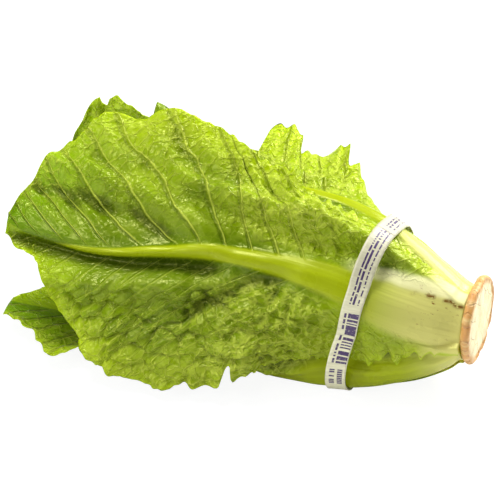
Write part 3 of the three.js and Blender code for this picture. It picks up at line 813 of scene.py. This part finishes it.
def leaf_piece(order, rows, columns, seed):
    """A leaf in place in the stack: its grid runs from its start to its tip and from margin to margin."""
    leaf = LEAVES[order]
    name = leaf["name"]
    s_line = leaf["start"] + (leaf["end"] - leaf["start"]) * np.linspace(0, 1, rows)
    s, u = np.meshgrid(s_line, np.linspace(-1, 1, columns), indexing="ij")
    section = section_of(leaf, s)
    plain_up_to = leaf["start"] + TEETH_FROM.get(name, PLAIN_UP_TO)
    begin = smooth_step(plain_up_to, plain_up_to + TEETH_GROW, s)
    half = toothed_half(leaf, section, s, u, begin, seed)
    across = section["rib"] + half * u
    turn = turn_at(section, across)
    layer = stack(s, turn)[order]
    real = walked(s, turn, layer["radius"], across - section["rib"])
    blade = blade_relief(leaf, section, s, across, real, seed)
    side, share = blade["side"], blade["share"]

    free = free_of_band(s, turn, layer["radius"])
    rib, stalk = rib_and_stalk(leaf, s, (across - section["rib"]) / section["rib_width"])
    relief = blade["height"] * (1 - smooth_step(0.15, 0.75, rib))
    relief = relief + ruffle(s, blade["out"], half, side, begin, seed)
    outermost = order == len(LEAVES) - 1
    relief = relief * free * (1 if outermost else 1 - 0.7 * layer["covered"])
    floor = (AXIS_HEIGHT - 0.02) / np.maximum(-np.cos(turn), LEAST_DOWN)
    outer = np.minimum(layer["radius"] + layer["thick"] + relief, floor)
    # edge is 1 at the margin and falls to 0 within EDGE_WIDTH: it thins the blade there and sets the painted
    # highlight along the margin
    edge = 1 - smooth_step(0.0, 1.0, (1 - np.abs(u)) * half / EDGE_WIDTH)
    inner = outer - (layer["thick"] - BLADE + FINE_BLADE) * (1 - 0.5 * edge)

    folds = sum((fold_height(fold, s, across) for fold in leaf["folds"]), 0)
    # Painted shade: the colour is darkened where the relief and the folds sink in, and where another leaf
    # lies over this one
    shade = PAINTED_SHADOW.get(name, PLAIN_PAINTED_SHADOW) * layer["covered"]
    painted_shade = np.clip(0.10 - folds / 9 - relief / 6 + shade, 0, 1) * free
    length = smooth_step(0, 1, (s - 8 + STALK_SHORT.get(name, 0)) / STALK_LENGTH)
    strip = scar = frill = 0 * s
    if name == "front_leaf":
        strip, scar, frill = front_leaf_marks(s, across, blade)
    vein_run = blade["run"] / MAP_UNIT + by_side(side, 0, RIGHT_MAP_SHIFT)
    maps = {"place": [s / MAP_UNIT, real / MAP_UNIT], "veins": [vein_run, np.abs(real) / MAP_UNIT]}
    marks = {
        "marks": [stalk, np.clip(share + frill, 0, 1), length, edge],
        "tone": [painted_shade, np.clip(blade["crinkled"], 0, 1), strip, scar],
    }

    def both_sides(layers):
        flat = np.stack(layers, axis=-1).reshape(-1, len(layers))
        return np.concatenate([flat, flat])

    return new_mesh(
        name + "_blade",
        np.concatenate([place(s, turn, r).reshape(-1, 3) for r in (inner, outer)]),
        sheet_quads(rows, columns),
        maps={label: both_sides(layers) for label, layers in maps.items()},
        marks={label: both_sides(layers) for label, layers in marks.items()},
    )


# ----- Shader node helpers


class Nodes:
    """Short ways to add the nodes of one material or group."""

    def __init__(self, tree):
        self.tree = tree

    def put(self, socket, value):
        if isinstance(value, bpy.types.NodeSocket):
            self.tree.links.new(value, socket)
        elif isinstance(value, tuple) and socket.type == "RGBA" and len(value) == 3:
            socket.default_value = (*value, 1)
        else:
            socket.default_value = value

    def fill(self, node, inputs):
        """Gives a node's inputs their values, by name or by number."""
        for label, value in dict(inputs).items():
            self.put(node.inputs[label], value)

    def add(self, kind, inputs=(), **settings):
        node = self.tree.nodes.new(kind)
        for label, value in settings.items():
            setattr(node, label, value)
        self.fill(node, inputs)
        return node

    def math(self, operation, *values, clamp=False):
        return self.add("ShaderNodeMath", enumerate(values), operation=operation, use_clamp=clamp).outputs[0]

    def chain(self, operation, first, *others):
        for other in others:
            first = self.math(operation, first, other)
        return first

    def times(self, *values):
        return self.chain("MULTIPLY", *values)

    def plus(self, *values):
        return self.chain("ADD", *values)

    def most(self, *values):
        return self.chain("MAXIMUM", *values)

    def minus(self, a, b):
        return self.math("SUBTRACT", a, b)

    def off_middle(self, value, scale):
        """How far a noise is from its middle value, times scale."""
        return self.times(self.minus(value, 0.5), scale)

    def span(self, *values):
        """Smooth step from 0 to 1, given as value, low, high, or also to_low, to_high in place of 0 and 1."""
        return self.add("ShaderNodeMapRange", enumerate(values), interpolation_type="SMOOTHSTEP").outputs[0]

    def mix(self, share, a, b):
        return self.add("ShaderNodeMix", {0: share, 6: a, 7: b}, data_type="RGBA").outputs[2]

    def coats(self, tint, *coats):
        """A colour with others laid over it in turn, each given as (share, colour)."""
        for share, colour in coats:
            tint = self.mix(share, tint, colour)
        return tint

    def stretch(self, vector, scale):
        return self.add("ShaderNodeMapping", {"Vector": vector, "Scale": (*scale, 1)}).outputs[0]

    def noise(self, vector, scale, detail=3.0, rough=0.55):
        """Noise with one scale, or with one along and one across."""
        if isinstance(scale, tuple):
            vector, scale = self.stretch(vector, scale), 1.0
        inputs = {"Vector": vector, "Scale": scale, "Detail": detail, "Roughness": rough}
        return self.add("ShaderNodeTexNoise", inputs).outputs["Fac"]

    def cell_walls(self, vector, stretch, scale):
        inputs = {"Vector": self.stretch(vector, stretch), "Scale": scale}
        settings = {"feature": "DISTANCE_TO_EDGE", "voronoi_dimensions": "2D"}
        return self.add("ShaderNodeTexVoronoi", inputs, **settings).outputs["Distance"]

    def bump(self, height, distance, strength=1.0):
        inputs = {"Height": height, "Distance": distance, "Strength": strength}
        return self.add("ShaderNodeBump", inputs).outputs["Normal"]

    def map(self, label):
        return self.add("ShaderNodeUVMap", uv_map=label).outputs["UV"]

    def marks(self, label):
        node = self.add("ShaderNodeAttribute", attribute_name=label)
        split = self.add("ShaderNodeSeparateColor", {"Color": node.outputs["Color"]})
        return (*split.outputs, node.outputs["Alpha"])

    def parts(self, vector):
        return self.add("ShaderNodeSeparateXYZ", {0: vector}).outputs[:2]

    def group(self, group, **inputs):
        return self.add("ShaderNodeGroup", inputs, node_tree=group).outputs


VALUE = "NodeSocketFloat"
VECTOR = "NodeSocketVector"


def shader_group(name, **inputs):
    """Turns a function of a group's input values, which returns its outputs by name, into the group."""

    def build(function):
        group = bpy.data.node_groups.new(name, "ShaderNodeTree")
        for label, kind in inputs.items():
            group.interface.new_socket(label, in_out="INPUT", socket_type=kind)
        n = Nodes(group)
        outputs = function(n, *n.add("NodeGroupInput").outputs[: len(inputs)])
        for label in outputs:
            group.interface.new_socket(label, in_out="OUTPUT", socket_type=VALUE)
        n.add("NodeGroupOutput", outputs)
        return group

    return build


@shader_group("side_veins", Veins=VECTOR, Spacing=VALUE, Out=VALUE)
def side_veins(n, veins, spacing, out):
    """Raised veins that run out from the midrib, each with a groove on one side, and the groove's mask for
    painted shade in it. Heights in millimetres.
    """
    run, _ = n.parts(veins)
    lane = n.math("DIVIDE", n.times(run, MAP_UNIT), spacing)
    off = n.times(n.minus(lane, n.math("ROUND", lane)), spacing)
    off = n.plus(off, n.off_middle(n.noise(veins, (9, 9), 2.0), 3.2))
    width = n.span(out, 0.0, 1.0, 1.1, 0.6)
    ridge = n.math("SUBTRACT", 1.0, n.math("DIVIDE", n.math("ABSOLUTE", off), width), clamp=True)
    ridge = n.span(ridge, 0.0, 0.9)
    groove = n.span(n.math("ABSOLUTE", n.minus(off, 1.7)), 1.5, 0.1)
    begin = n.span(out, 0.02, 0.12)
    height = n.minus(n.times(ridge, 0.8), n.times(groove, 0.55))
    return {"Vein": n.times(ridge, begin), "Groove": n.times(groove, begin), "Height": n.times(height, begin)}


@shader_group("net_veins", Place=VECTOR, Scale=VALUE, Width=VALUE)
def net_veins(n, place, scale, width):
    """A net of small veins, with cushions of blade between them. Height in millimetres."""
    bend = n.off_middle(n.noise(place, 14.0, 2.0), 0.12)
    bent = n.add("ShaderNodeVectorMath", {0: place, 1: bend}, operation="ADD").outputs[0]
    large = n.cell_walls(bent, (1.0, 1.15), scale)
    small = n.cell_walls(bent, (1.0, 1.2), n.times(scale, 2.7))
    net = n.most(n.span(large, width, 0.0), n.times(n.span(small, n.times(width, 1.2), 0.0), 0.4))
    cushion = n.span(large, 0.02, 0.22)
    return {"Net": net, "Height": n.minus(n.times(net, 0.35), n.times(cushion, 0.25))}


@shader_group("crinkle", Place=VECTOR)
def crinkle_folds(n, place):
    """Glossy crinkles, a little longer along the veins than across them. Height in millimetres."""
    coarse = n.noise(place, (12, 15), 2.0, 0.5)
    fine = n.noise(place, (32, 38), 2.0, 0.5)
    fold = n.span(n.math("ABSOLUTE", n.minus(coarse, 0.5)), 0.13, 0.0)
    return {"Height": n.plus(n.times(fold, 0.7), n.off_middle(fine, 0.8)), "Fold": fold}


@shader_group("stalk_ribs", Place=VECTOR)
def stalk_ribs(n, place):
    """Fine ridges that run the length of a leaf stalk. Height in millimetres."""
    broad = n.noise(place, (0.7, 16), 2.0, 0.6)
    fine = n.noise(place, (1.4, 60), 2.0, 0.6)
    shares = {"Streak": (0.6, 0.4), "Height": (1.6, 0.45)}
    return {label: n.plus(n.times(broad, a), n.times(fine, b)) for label, (a, b) in shares.items()}


@shader_group("bruises", Place=VECTOR, Amount=VALUE)
def bruises(n, place, amount):
    """Brown specks and short scars, most of them near the butt."""
    speck = n.noise(place, (22, 46), 3.0, 0.6)
    patch = n.noise(place, (5, 8), 1.0, 0.5)
    return {"Bruise": n.times(n.span(speck, 0.60, 0.70), n.span(patch, 0.50, 0.62), amount)}


def new_material(name):
    material = bpy.data.materials.new(name)
    material.use_nodes = True
    material.node_tree.nodes.clear()
    n = Nodes(material.node_tree)
    shader = n.add("ShaderNodeBsdfPrincipled")
    return material, n, shader, n.add("ShaderNodeOutputMaterial", {"Surface": shader.outputs["BSDF"]})


# ----- Leaves

# In order: dark patches of the blade, whose colour is also used for painted shade in its folds, the blade,
# its tip, margin and veins, the midrib, and the stalk beside the butt. The margin colour also paints the
# highlight along the edge
LEAF_COLOURS = {
    "outer": (
        (0.110, 0.205, 0.0005), (0.31, 0.46, 0.001), (0.22, 0.44, 0.001), (0.52, 0.68, 0.002),
        (0.68, 0.78, 0.09), (0.50, 0.60, 0.006), (0.80, 0.77, 0.25),
    ),
    "middle": (
        (0.14, 0.25, 0.002), (0.38, 0.54, 0.004), (0.26, 0.48, 0.002), (0.55, 0.72, 0.008),
        (0.70, 0.80, 0.12), (0.62, 0.68, 0.04), (0.80, 0.78, 0.25),
    ),
    "heart": (
        (0.42, 0.50, 0.02), (0.66, 0.70, 0.07), (0.60, 0.68, 0.05), (0.74, 0.78, 0.10),
        (0.82, 0.84, 0.22), (0.80, 0.80, 0.22), (0.88, 0.86, 0.45),
    ),
}
LEAF_NAMES = {"outer": "outer_leaf_green", "middle": "middle_leaf_green", "heart": "heart_leaf_yellow"}
TRANSLUCENCE = {"outer": 0.38, "middle": 0.4, "heart": 0.42}
STRIP_PALE = (0.95, 0.93, 0.56)
BRUISE_BROWN = (0.30, 0.13, 0.02)
SCAR_BROWN = (0.19, 0.07, 0.01)
LEAF_SPECULAR = 0.75
LEAF_SPECULAR_TINT = (1.0, 0.99, 0.35)
NET_SCALE = 11.0
NET_WIDTH = 0.06


def darker(colour, share):
    return tuple(value * share for value in colour)


def leaf_material(kind):
    """Leaf blade and stalk, with light that passes through the blade."""
    dark, light, tip, bright, vein, rib, butt = LEAF_COLOURS[kind]
    material, n, shader, out = new_material(LEAF_NAMES[kind])
    veins = n.map("veins")
    spot = n.map("place")
    along, _ = n.parts(spot)
    run, _ = n.parts(veins)
    stalk_mark, share, length, edge = n.marks("marks")
    painted_shade, crinkled, strip, scar = n.marks("tone")
    leafy = n.times(n.minus(1.0, n.span(stalk_mark, 0.18, 0.55)), n.span(length, 0.01, 0.14))
    side = n.group(side_veins, Veins=veins, Spacing=float(SIDE_VEIN_SPACING), Out=share)
    net = n.group(net_veins, Place=spot, Scale=NET_SCALE, Width=NET_WIDTH)
    crinkle = n.group(crinkle_folds, Place=spot)
    stalk = n.group(stalk_ribs, Place=spot)
    bruise = n.group(bruises, Place=spot, Amount=n.span(length, 0.24, 0.02))

    right = n.span(run, *RIGHT_STEP)
    veined = n.times(n.span(length, 0.55, 0.9), n.span(run, *RIGHT_STEP, 1.0, 0.35))
    # Painted shade: the right side, the lower one of the front leaf, is darker from past the band towards the
    # tip
    right_painted_shade = n.times(n.span(along, 2.45, 1.9, 0.0, 0.38), n.span(along, 0.75, 1.05))
    mottle = n.noise(spot, (3.2, 3.2), 4.0, 0.6)
    patches = n.noise(veins, (5, 3), 2.0, 0.5)
    shade = n.span(n.plus(n.times(mottle, 0.55), n.times(patches, 0.45)), 0.36, 0.64)
    blade = n.coats(
        n.mix(shade, dark, light),
        (n.times(n.span(share, 0.62, 0.98), 0.75), bright),
        (n.span(along, 2.2, 2.95, 0.0, 0.7), tip),
        (n.times(n.span(share, 0.5, 0.1), n.span(length, 0.5, 0.9, 0.0, 0.5)), dark),
        (n.times(crinkled, 0.40), bright),
        # painted shade on the right side
        (n.times(right, right_painted_shade), dark),
        (n.times(right, n.span(along, 0.95, 0.7, 0.0, 0.45)), bright),
        # painted highlight: the right side is lighter near the tip, where the blade catches the light
        (n.times(right, n.span(along, 2.35, 2.7, 0.0, 0.45)), bright),
        # painted shade in the sunk relief, the folds and under other leaves
        (n.times(n.span(painted_shade, 0.15, 0.75), 0.8), darker(dark, 0.35)),
        # painted shade in the groove beside each side vein
        (n.times(side["Groove"], veined, 0.5), darker(dark, 0.5)),
        (n.times(crinkled, crinkle["Fold"], 0.5), vein),
        (n.times(net["Net"], n.span(share, 0.25, 0.8, 0.15, 0.75)), vein),
        (n.times(side["Vein"], veined, 0.8), vein),
    )
    stalk_share = n.span(stalk_mark, 0.10, 0.45, 0.10, 1.0)
    torn = n.noise(spot, (40, 60), 3.0, 0.6)
    tint = n.coats(
        n.mix(leafy, n.mix(n.span(stalk["Streak"], 0.35, 0.65), darker(rib, 0.86), rib), blade),
        (n.times(n.span(length, 0.42, 0.02), n.most(stalk_share, n.span(length, 0.10, 0.0))), butt),
        (n.times(strip, 0.85), STRIP_PALE),
        # painted highlight along the margin
        (n.times(edge, 0.8), bright),
        (bruise["Bruise"], BRUISE_BROWN),
        (n.times(scar, n.span(torn, 0.30, 0.52)), SCAR_BROWN),
    )
    blade_height = n.plus(
        n.times(side["Height"], veined),
        n.times(net["Height"], n.span(share, 0.1, 0.4)),
        n.times(crinkle["Height"], n.span(crinkled, 0.2, 0.9, 0.25, 1.0)),
    )
    stalk_height = n.times(stalk["Height"], n.minus(1.0, leafy), 0.5)
    normal = n.bump(n.plus(n.times(blade_height, leafy), stalk_height), MM)
    looks = {
        "Base Color": tint,
        "Roughness": n.span(mottle, 0.3, 0.7, 0.22, 0.38),
        "Specular IOR Level": LEAF_SPECULAR,
        "Specular Tint": LEAF_SPECULAR_TINT,
        "Normal": normal,
    }
    n.fill(shader, looks)
    through = n.add("ShaderNodeBsdfTranslucent", {"Color": tint, "Normal": normal}).outputs[0]
    blend = n.add("ShaderNodeMixShader", enumerate((TRANSLUCENCE[kind], shader.outputs[0], through)))
    n.fill(out, {"Surface": blend.outputs[0]})
    return material


LEAF_MATERIALS = {kind: leaf_material(kind) for kind in LEAF_COLOURS}

# Rows from a leaf's base to its tip and columns across it, by the first word of its name
GRIDS = {"front": (296, 166), "top": (230, 130), "lower": (230, 130), "middle": (110, 60), "heart": (60, 40)}
PLAIN_GRID = (190, 110)

for order, leaf in enumerate(LEAVES):
    kind = leaf["name"].split("_")[0]
    rows, columns = GRIDS.get(kind, PLAIN_GRID)
    piece = leaf_piece(order, rows, columns, seed=order + 1)
    finish = kind if kind in LEAF_MATERIALS else "outer"
    piece.data.materials.append(LEAF_MATERIALS[finish])
    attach(piece, "root")
    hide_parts(leaf["name"])


# ----- Cut butt and core

BUTT_TURNS = 160
FACE_RINGS = 26
# The rim from the cut face to the back: (s, distance past the butt's or the flare's radius)
FACE_RIM = [(0.25, 0.0), (1.0, 0.9)]
FLARE_RIM = [(2.2, 0.0), (3.2, 0.1), (4.2, -0.3), (5.2, -1.0), (6.0, -2.2), (BUTT_THICKNESS, -3.4)]
# The rim is torn, and stands out in lips at the top and at the bottom: (height, turn, width)
LIPS = [(1.1, 0.45, 0.35), (1.3, 2.55, 0.30)]

CUT_CREAM = ((0.70, 0.58, 0.30), (0.78, 0.70, 0.42))
CUT_MIDDLE = (0.70, 0.62, 0.28)
SEAM_BROWN = (0.62, 0.42, 0.16)
RIM_OCHRE = (0.70, 0.46, 0.15)
RUST = (0.58, 0.27, 0.06)
DEEP_RUST = (0.34, 0.13, 0.03)


def butt_profile():
    """(s, radius) from the middle of the cut face, round the rim and along the core to its tip."""
    face = [(0.0, BUTT_RADIUS * 0.97 * i / FACE_RINGS) for i in range(FACE_RINGS + 1)]
    rim = [(s, BUTT_RADIUS + past) for s, past in FACE_RIM]
    rim += [(s, BUTT_FLARE_RADIUS + past) for s, past in FLARE_RIM]
    core = [
        (BUTT_THICKNESS, CORE_RADIUS + 1.2),
        (BUTT_THICKNESS + 1.2, CORE_RADIUS),
        (BUTT_THICKNESS + 14, CORE_RADIUS * 0.86),
        (BUTT_THICKNESS + 28, CORE_RADIUS * 0.68),
        (CORE_END - 12, CORE_RADIUS * 0.46),
        (CORE_END - 3, CORE_TIP_RADIUS),
        (CORE_END, 0.0),
    ]
    return np.array(face + rim + core)


def butt_piece():
    profile = butt_profile()
    turn = np.linspace(0, 2 * math.pi, BUTT_TURNS, endpoint=False)
    s, t = np.meshgrid(profile[:, 0], turn, indexing="ij")
    r = np.repeat(profile[:, 1:2], BUTT_TURNS, axis=1)
    east, north = np.cos(t), np.sin(t)
    rough = layered_noise(east * 3.1 + 7, north * 3.1 + 7, 91, 4)
    on_rim = smooth_step(BUTT_RADIUS * 0.8, BUTT_RADIUS, r)
    lips = sum(height * np.exp(-(((t - at) / width) ** 2)) for height, at, width in LIPS)
    r = r + on_rim * (0.55 * rough + 0.9 * lips - 0.9)
    dents = layered_noise(r * east / 6 + 3, r * north / 6 + 5, 97, 3)
    on_face = s < 0.1
    dish = 0.45 + 0.35 * dents + 0.5 * (r / BUTT_RADIUS) ** 2
    s = s + np.where(on_face, dish, 0) + on_rim * 0.5 * np.abs(rough)
    marks = np.stack([np.clip(r / BUTT_FLARE_RADIUS, 0, 1), on_rim, on_face * 1.0, 0 * s], axis=-1)
    maps = {"face": np.stack([r * east, r * north], axis=-1) / MAP_UNIT}
    quads = grid_cells(len(profile), BUTT_TURNS, closed=True)
    return new_mesh("cut_butt", place(s, t, r).reshape(-1, 3), quads, maps=maps, marks={"marks": marks})


def butt_material():
    """Cream cut face with the seams of the leaf bases that were cut through, and a browned rim."""
    material, n, shader, _ = new_material("cut_butt_cream")
    face = n.map("face")
    radius, rim, _, _ = n.marks("marks")
    cloud = n.noise(face, (7, 7), 4.0, 0.6)
    seams = n.times(n.span(n.cell_walls(face, (1.0, 1.0), 9.0), 0.05, 0.0), n.span(radius, 0.40, 0.60))
    rust = n.times(rim, n.span(n.noise(face, (16, 16), 4.0, 0.65), 0.26, 0.54))
    deep_rust = n.times(rim, n.span(n.noise(face, (30, 30), 3.0, 0.6), 0.56, 0.68))
    tint = n.coats(
        n.mix(n.span(cloud, 0.35, 0.65), *CUT_CREAM),
        (n.times(n.span(radius, 0.38, 0.1), 0.5), CUT_MIDDLE),
        (n.times(seams, 0.55), SEAM_BROWN),
        (n.times(rim, 0.55), RIM_OCHRE),
        (n.times(rust, 0.9), RUST),
        (n.times(deep_rust, 0.7), DEEP_RUST),
    )
    pores = n.noise(face, (90, 90), 3.0, 0.6)
    looks = {
        "Base Color": tint,
        "Roughness": n.span(cloud, 0.3, 0.7, 0.38, 0.6),
        "Normal": n.bump(n.minus(n.times(pores, 0.5), seams), 0.6 * MM),
        "Subsurface Weight": 0.25,
        "Subsurface Radius": (0.004, 0.003, 0.0015),
    }
    n.fill(shader, looks)
    return material


butt = butt_piece()
butt.data.materials.append(butt_material())
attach(butt, "root")
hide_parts("stump")


# ----- Tie band

BAND_STEPS = 240  # round the head
BAND_LINES = 9  # across the band
BAND_ROUNDING = 3  # passes that ease the band's corners
BAND_CURL = 0.25  # how far its edges stand up
BAND_WRINKLE = 0.16
TOP_SHADE_WIDTH = 0.36  # how far down from the top the painted shade on the paper reaches

PAPER = ((0.60, 0.58, 0.39), (0.74, 0.72, 0.50))
TOP_SHADE_PAPER = (0.36, 0.34, 0.24)
INK = (0.035, 0.010, 0.095)
PRINT_REPEAT = 140.0  # length of the print's pattern along the band
PRINT_START = 20.0
# Rows of marks: (from, to) across the band, their length, a seed and the share that is inked
FINE_ROWS = [(1.4, 2.5, 0.9, 3.0, 0.74), (-0.9, 0.5, 1.2, 11.0, 0.78), (-3.5, -2.6, 0.8, 23.0, 0.68)]
BOLD_ROWS = [(0.7, 3.9, 1.9, 61.0, 0.85), (-4.2, -1.0, 1.9, 71.0, 0.85)]
TICK_ROW = (2.2, 3.6, 1.1, 83.0, 0.6)


def outside(s, turn):
    """Outermost leaf surface on the rays at s and turn."""
    reach = np.zeros(np.shape(turn))
    for layer in stack(s, turn):
        reach = np.where(layer["inside"], np.maximum(reach, layer["radius"] + layer["thick"]), reach)
    return reach


def band_floor(turn, height):
    """Distance from the axis to a plane that far above the surface below."""
    return (AXIS_HEIGHT - height) / np.maximum(-np.cos(turn), LEAST_DOWN)


def band_loop(edge):
    """Distance from the axis all round for one line of the band: drawn tight, it bridges the hollows."""
    hull_turn = np.arange(2 * BAND_STEPS) * math.pi / BAND_STEPS
    r = np.full(2 * BAND_STEPS, float(BUTT_RADIUS))
    for _ in range(BAND_PASSES):
        r = outside(band_place(hull_turn, r) + edge * BAND_WIDTH, hull_turn)
    turn = np.arange(BAND_STEPS) * 2 * math.pi / BAND_STEPS
    reach = np.max(r[None, :] * np.cos(turn[:, None] - hull_turn[None, :]), axis=1)
    for _ in range(BAND_ROUNDING):
        reach = np.maximum(reach, (np.roll(reach, 1) + np.roll(reach, -1)) / 2)
    return turn, np.minimum(reach + BAND_CLEARANCE, band_floor(turn, BAND_FLOOR_GAP + BAND_THICKNESS))


def band_piece():
    edges = np.linspace(-0.5, 0.5, BAND_LINES)
    (turn, first), (_, middle), (_, last) = (band_loop(edge) for edge in (-0.5, 0.0, 0.5))
    lines = []
    for edge in edges:
        low, high, share = (first, middle, (edge + 0.5) * 2) if edge < 0 else (middle, last, edge * 2)
        lines.append(low * (1 - share) + high * share)
    r = np.array(lines)
    edge, t = np.meshgrid(edges, turn, indexing="ij")
    s = band_place(t, r) + edge * BAND_WIDTH
    curl = BAND_CURL * (2 * np.abs(edge)) ** 3
    wrinkle = BAND_WRINKLE * layered_noise(t * 9, edge * 2 + 4, 55, 2)
    top = np.minimum(r + BAND_THICKNESS * 0.6 + curl + wrinkle + 0.2, band_floor(t, BAND_FLOOR_GAP))
    outer = place(s, t, top)
    step = np.linalg.norm(np.roll(outer, -1, axis=1) - outer, axis=2)[BAND_LINES // 2]
    along = np.repeat(np.concatenate([[0], np.cumsum(step)[:-1]])[None, :], BAND_LINES, axis=0)
    spot = (np.stack([along, edge * BAND_WIDTH], axis=-1) / MAP_UNIT).reshape(-1, 2)
    # Painted shade: the paper is darker near the top of the head, where the top light falls strongest
    painted_top_shade = np.exp(-((np.sin(t / 2) / TOP_SHADE_WIDTH) ** 2))
    marks = np.stack([1 + 0 * s, painted_top_shade, 0 * s, 0 * s], axis=-1).reshape(-1, 4)
    return new_mesh(
        "paper_band",
        np.concatenate([place(s, t, r).reshape(-1, 3), outer.reshape(-1, 3)]),
        sheet_quads(BAND_LINES, BAND_STEPS, closed=True),
        maps={"place": np.concatenate([spot, spot])},
        marks={"marks": np.concatenate([0 * marks, marks])},
    )


def band_material():
    """Off-white paper with plain purple dashes and bars, with painted shade that darkens it near the top."""
    material, n, shader, _ = new_material("band_paper")
    spot = n.map("place")
    printed, painted_top_shade, _, _ = n.marks("marks")
    along, across = (n.times(part, MAP_UNIT) for part in n.parts(spot))

    def chance_by(length, seed):
        """A number from 0 to 1 that changes with each length along the band."""
        inputs = {"W": n.plus(n.math("FLOOR", n.math("DIVIDE", along, length)), seed)}
        return n.add("ShaderNodeTexWhiteNoise", inputs, noise_dimensions="1D").outputs["Value"]

    def between(value, low, high):
        return n.times(n.math("GREATER_THAN", value, low), n.math("LESS_THAN", value, high))

    def inked(length, seed, share):
        return n.math("LESS_THAN", chance_by(length, seed), share)

    def dashes(low, high, length, seed, share):
        return n.times(between(across, low, high), inked(length, seed, share))

    repeat = n.math("MODULO", n.plus(along, PRINT_START), PRINT_REPEAT)
    fine = n.times(n.most(*(dashes(*row) for row in FINE_ROWS)), between(repeat, 12.0, 75.0))
    fine = n.times(fine, inked(13.0, 7.0, 0.8))
    bars = n.times(inked(0.9, 41.0, 0.55), between(across, -5.6, 1.2))
    bars = n.times(n.most(bars, dashes(*TICK_ROW)), between(repeat, 80.5, 117.0))
    bold = n.times(n.most(*(dashes(*row) for row in BOLD_ROWS)), between(repeat, 121.5, 136.0))
    bold = n.times(bold, n.math("GREATER_THAN", n.math("MODULO", along, 1.9), 0.45))
    worn = n.span(n.noise(spot, (60, 60), 2.0, 0.6), 0.30, 0.45, 0.55, 0.97)
    ink = n.times(n.most(fine, bars, bold), printed, worn)
    crease = n.noise(spot, (60, 8), 3.0, 0.6)
    tint = n.coats(
        n.mix(n.span(crease, 0.3, 0.7), *PAPER),
        # painted shade near the top
        (n.times(painted_top_shade, 0.75), TOP_SHADE_PAPER),
        (ink, INK),
    )
    roughness = n.span(crease, 0.3, 0.7, 0.35, 0.55)
    n.fill(shader, {"Base Color": tint, "Roughness": roughness, "Normal": n.bump(crease, 0.5 * MM, 0.6)})
    return material


band = band_piece()
band.data.materials.append(band_material())
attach(band, "root")
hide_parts("tie_band")


# ----- Floor, light and camera

FLOOR_HALF = 6000
FLOOR_GREYS = ((0.84, 0.84, 0.84), (0.88, 0.88, 0.88))
FLOOR_SHOWN = 0.82  # share of the floor's plain white that hides its shading
FLOOR_GLOW = 1.12
SKY_STRENGTH = 0.46
SKY_IN_GLOSS = 0.05  # strength of the sky in reflections
LIGHTS = {  # (place, aim, size) in metres, and watts
    "back_light": ((0.35, 0.62, 0.62), (-0.03, 0, 0.08), 0.45, 13),
    "top_light": ((-0.30, 0.05, 0.90), (-0.03, 0, 0.05), 0.35, 7.5),
    "front_light": ((-0.55, -0.60, 0.45), (-0.05, 0, 0.05), 0.22, 2.4),
}


def shown_white(n, plain, strength):
    """A mix that the camera sees as white, and that lights the head as the plain shader does."""
    seen = n.times(n.add("ShaderNodeLightPath").outputs["Is Camera Ray"], FLOOR_SHOWN)
    glow = n.add("ShaderNodeEmission", {"Strength": strength}).outputs[0]
    return n.add("ShaderNodeMixShader", enumerate((seen, plain, glow))).outputs[0]


def add_floor():
    corners = [(x * FLOOR_HALF, y * FLOOR_HALF, 0) for x, y in ((-1, -1), (1, -1), (1, 1), (-1, 1))]
    floor = new_mesh("floor", corners, [(0, 1, 2, 3)], smooth=False)
    material, n, shader, out = new_material("floor_white")
    grain = n.noise(n.add("ShaderNodeTexCoord").outputs["Object"], 40.0, 2.0)
    n.fill(shader, {"Base Color": n.mix(grain, *FLOOR_GREYS), "Roughness": 0.9})
    n.fill(out, {"Surface": shown_white(n, shader.outputs["BSDF"], FLOOR_GLOW)})
    floor.data.materials.append(material)


def add_sky(scene):
    """White for the camera, soft light for the head and little in its reflections."""
    scene.world = bpy.data.worlds.new("studio")
    scene.world.use_nodes = True
    n = Nodes(scene.world.node_tree)
    sky = scene.world.node_tree.nodes["Background"]
    sky.inputs["Color"].default_value = (1, 1, 1, 1)
    path = n.add("ShaderNodeLightPath")
    lit = n.span(path.outputs["Is Glossy Ray"], 0.0, 1.0, SKY_STRENGTH, SKY_IN_GLOSS)
    n.put(sky.inputs["Strength"], n.most(lit, n.span(path.outputs["Is Camera Ray"], 0.0, 1.0, 0.0, 1.0)))


def add_area(name, location, target, size, power):
    data = bpy.data.lights.new(name, "AREA")
    data.size = size
    data.energy = power
    lamp = bpy.data.objects.new(name, data)
    bpy.context.scene.collection.objects.link(lamp)
    direction = Vector(target) - Vector(location)
    lamp.matrix_world = Matrix.Translation(location) @ direction.to_track_quat("-Z", "Y").to_matrix().to_4x4()


def add_camera(scene):
    """A long lens that puts the middle of the butt at its pixel."""
    back = Vector(
        (
            math.sin(VIEW_AZIMUTH) * math.cos(VIEW_ELEVATION),
            -math.cos(VIEW_AZIMUTH) * math.cos(VIEW_ELEVATION),
            math.sin(VIEW_ELEVATION),
        )
    )
    right = Vector((math.cos(VIEW_AZIMUTH), math.sin(VIEW_AZIMUTH), 0))
    up = back.cross(right)
    aim = Vector((REST_FROM_BUTT, 0, AXIS_HEIGHT))
    aim += right * (IMAGE_SIDE / 2 - BUTT_PIXEL[0]) * PIXEL
    aim += up * (BUTT_PIXEL[1] - IMAGE_SIDE / 2) * PIXEL
    data = bpy.data.cameras.new("camera")
    data.sensor_width = SENSOR
    data.sensor_fit = "HORIZONTAL"
    data.lens = SENSOR * VIEW_DISTANCE / (IMAGE_SIDE * PIXEL)
    camera = bpy.data.objects.new("camera", data)
    scene.collection.objects.link(camera)
    axes = Matrix((right, up, back)).transposed().to_4x4()
    camera.matrix_world = Matrix.Translation((aim + back * VIEW_DISTANCE) * MM) @ axes
    scene.camera = camera


add_floor()
add_sky(bpy.context.scene)
for name, light in LIGHTS.items():
    add_area(name, *light)
bpy.context.scene.view_settings.view_transform = "Standard"
add_camera(bpy.context.scene)
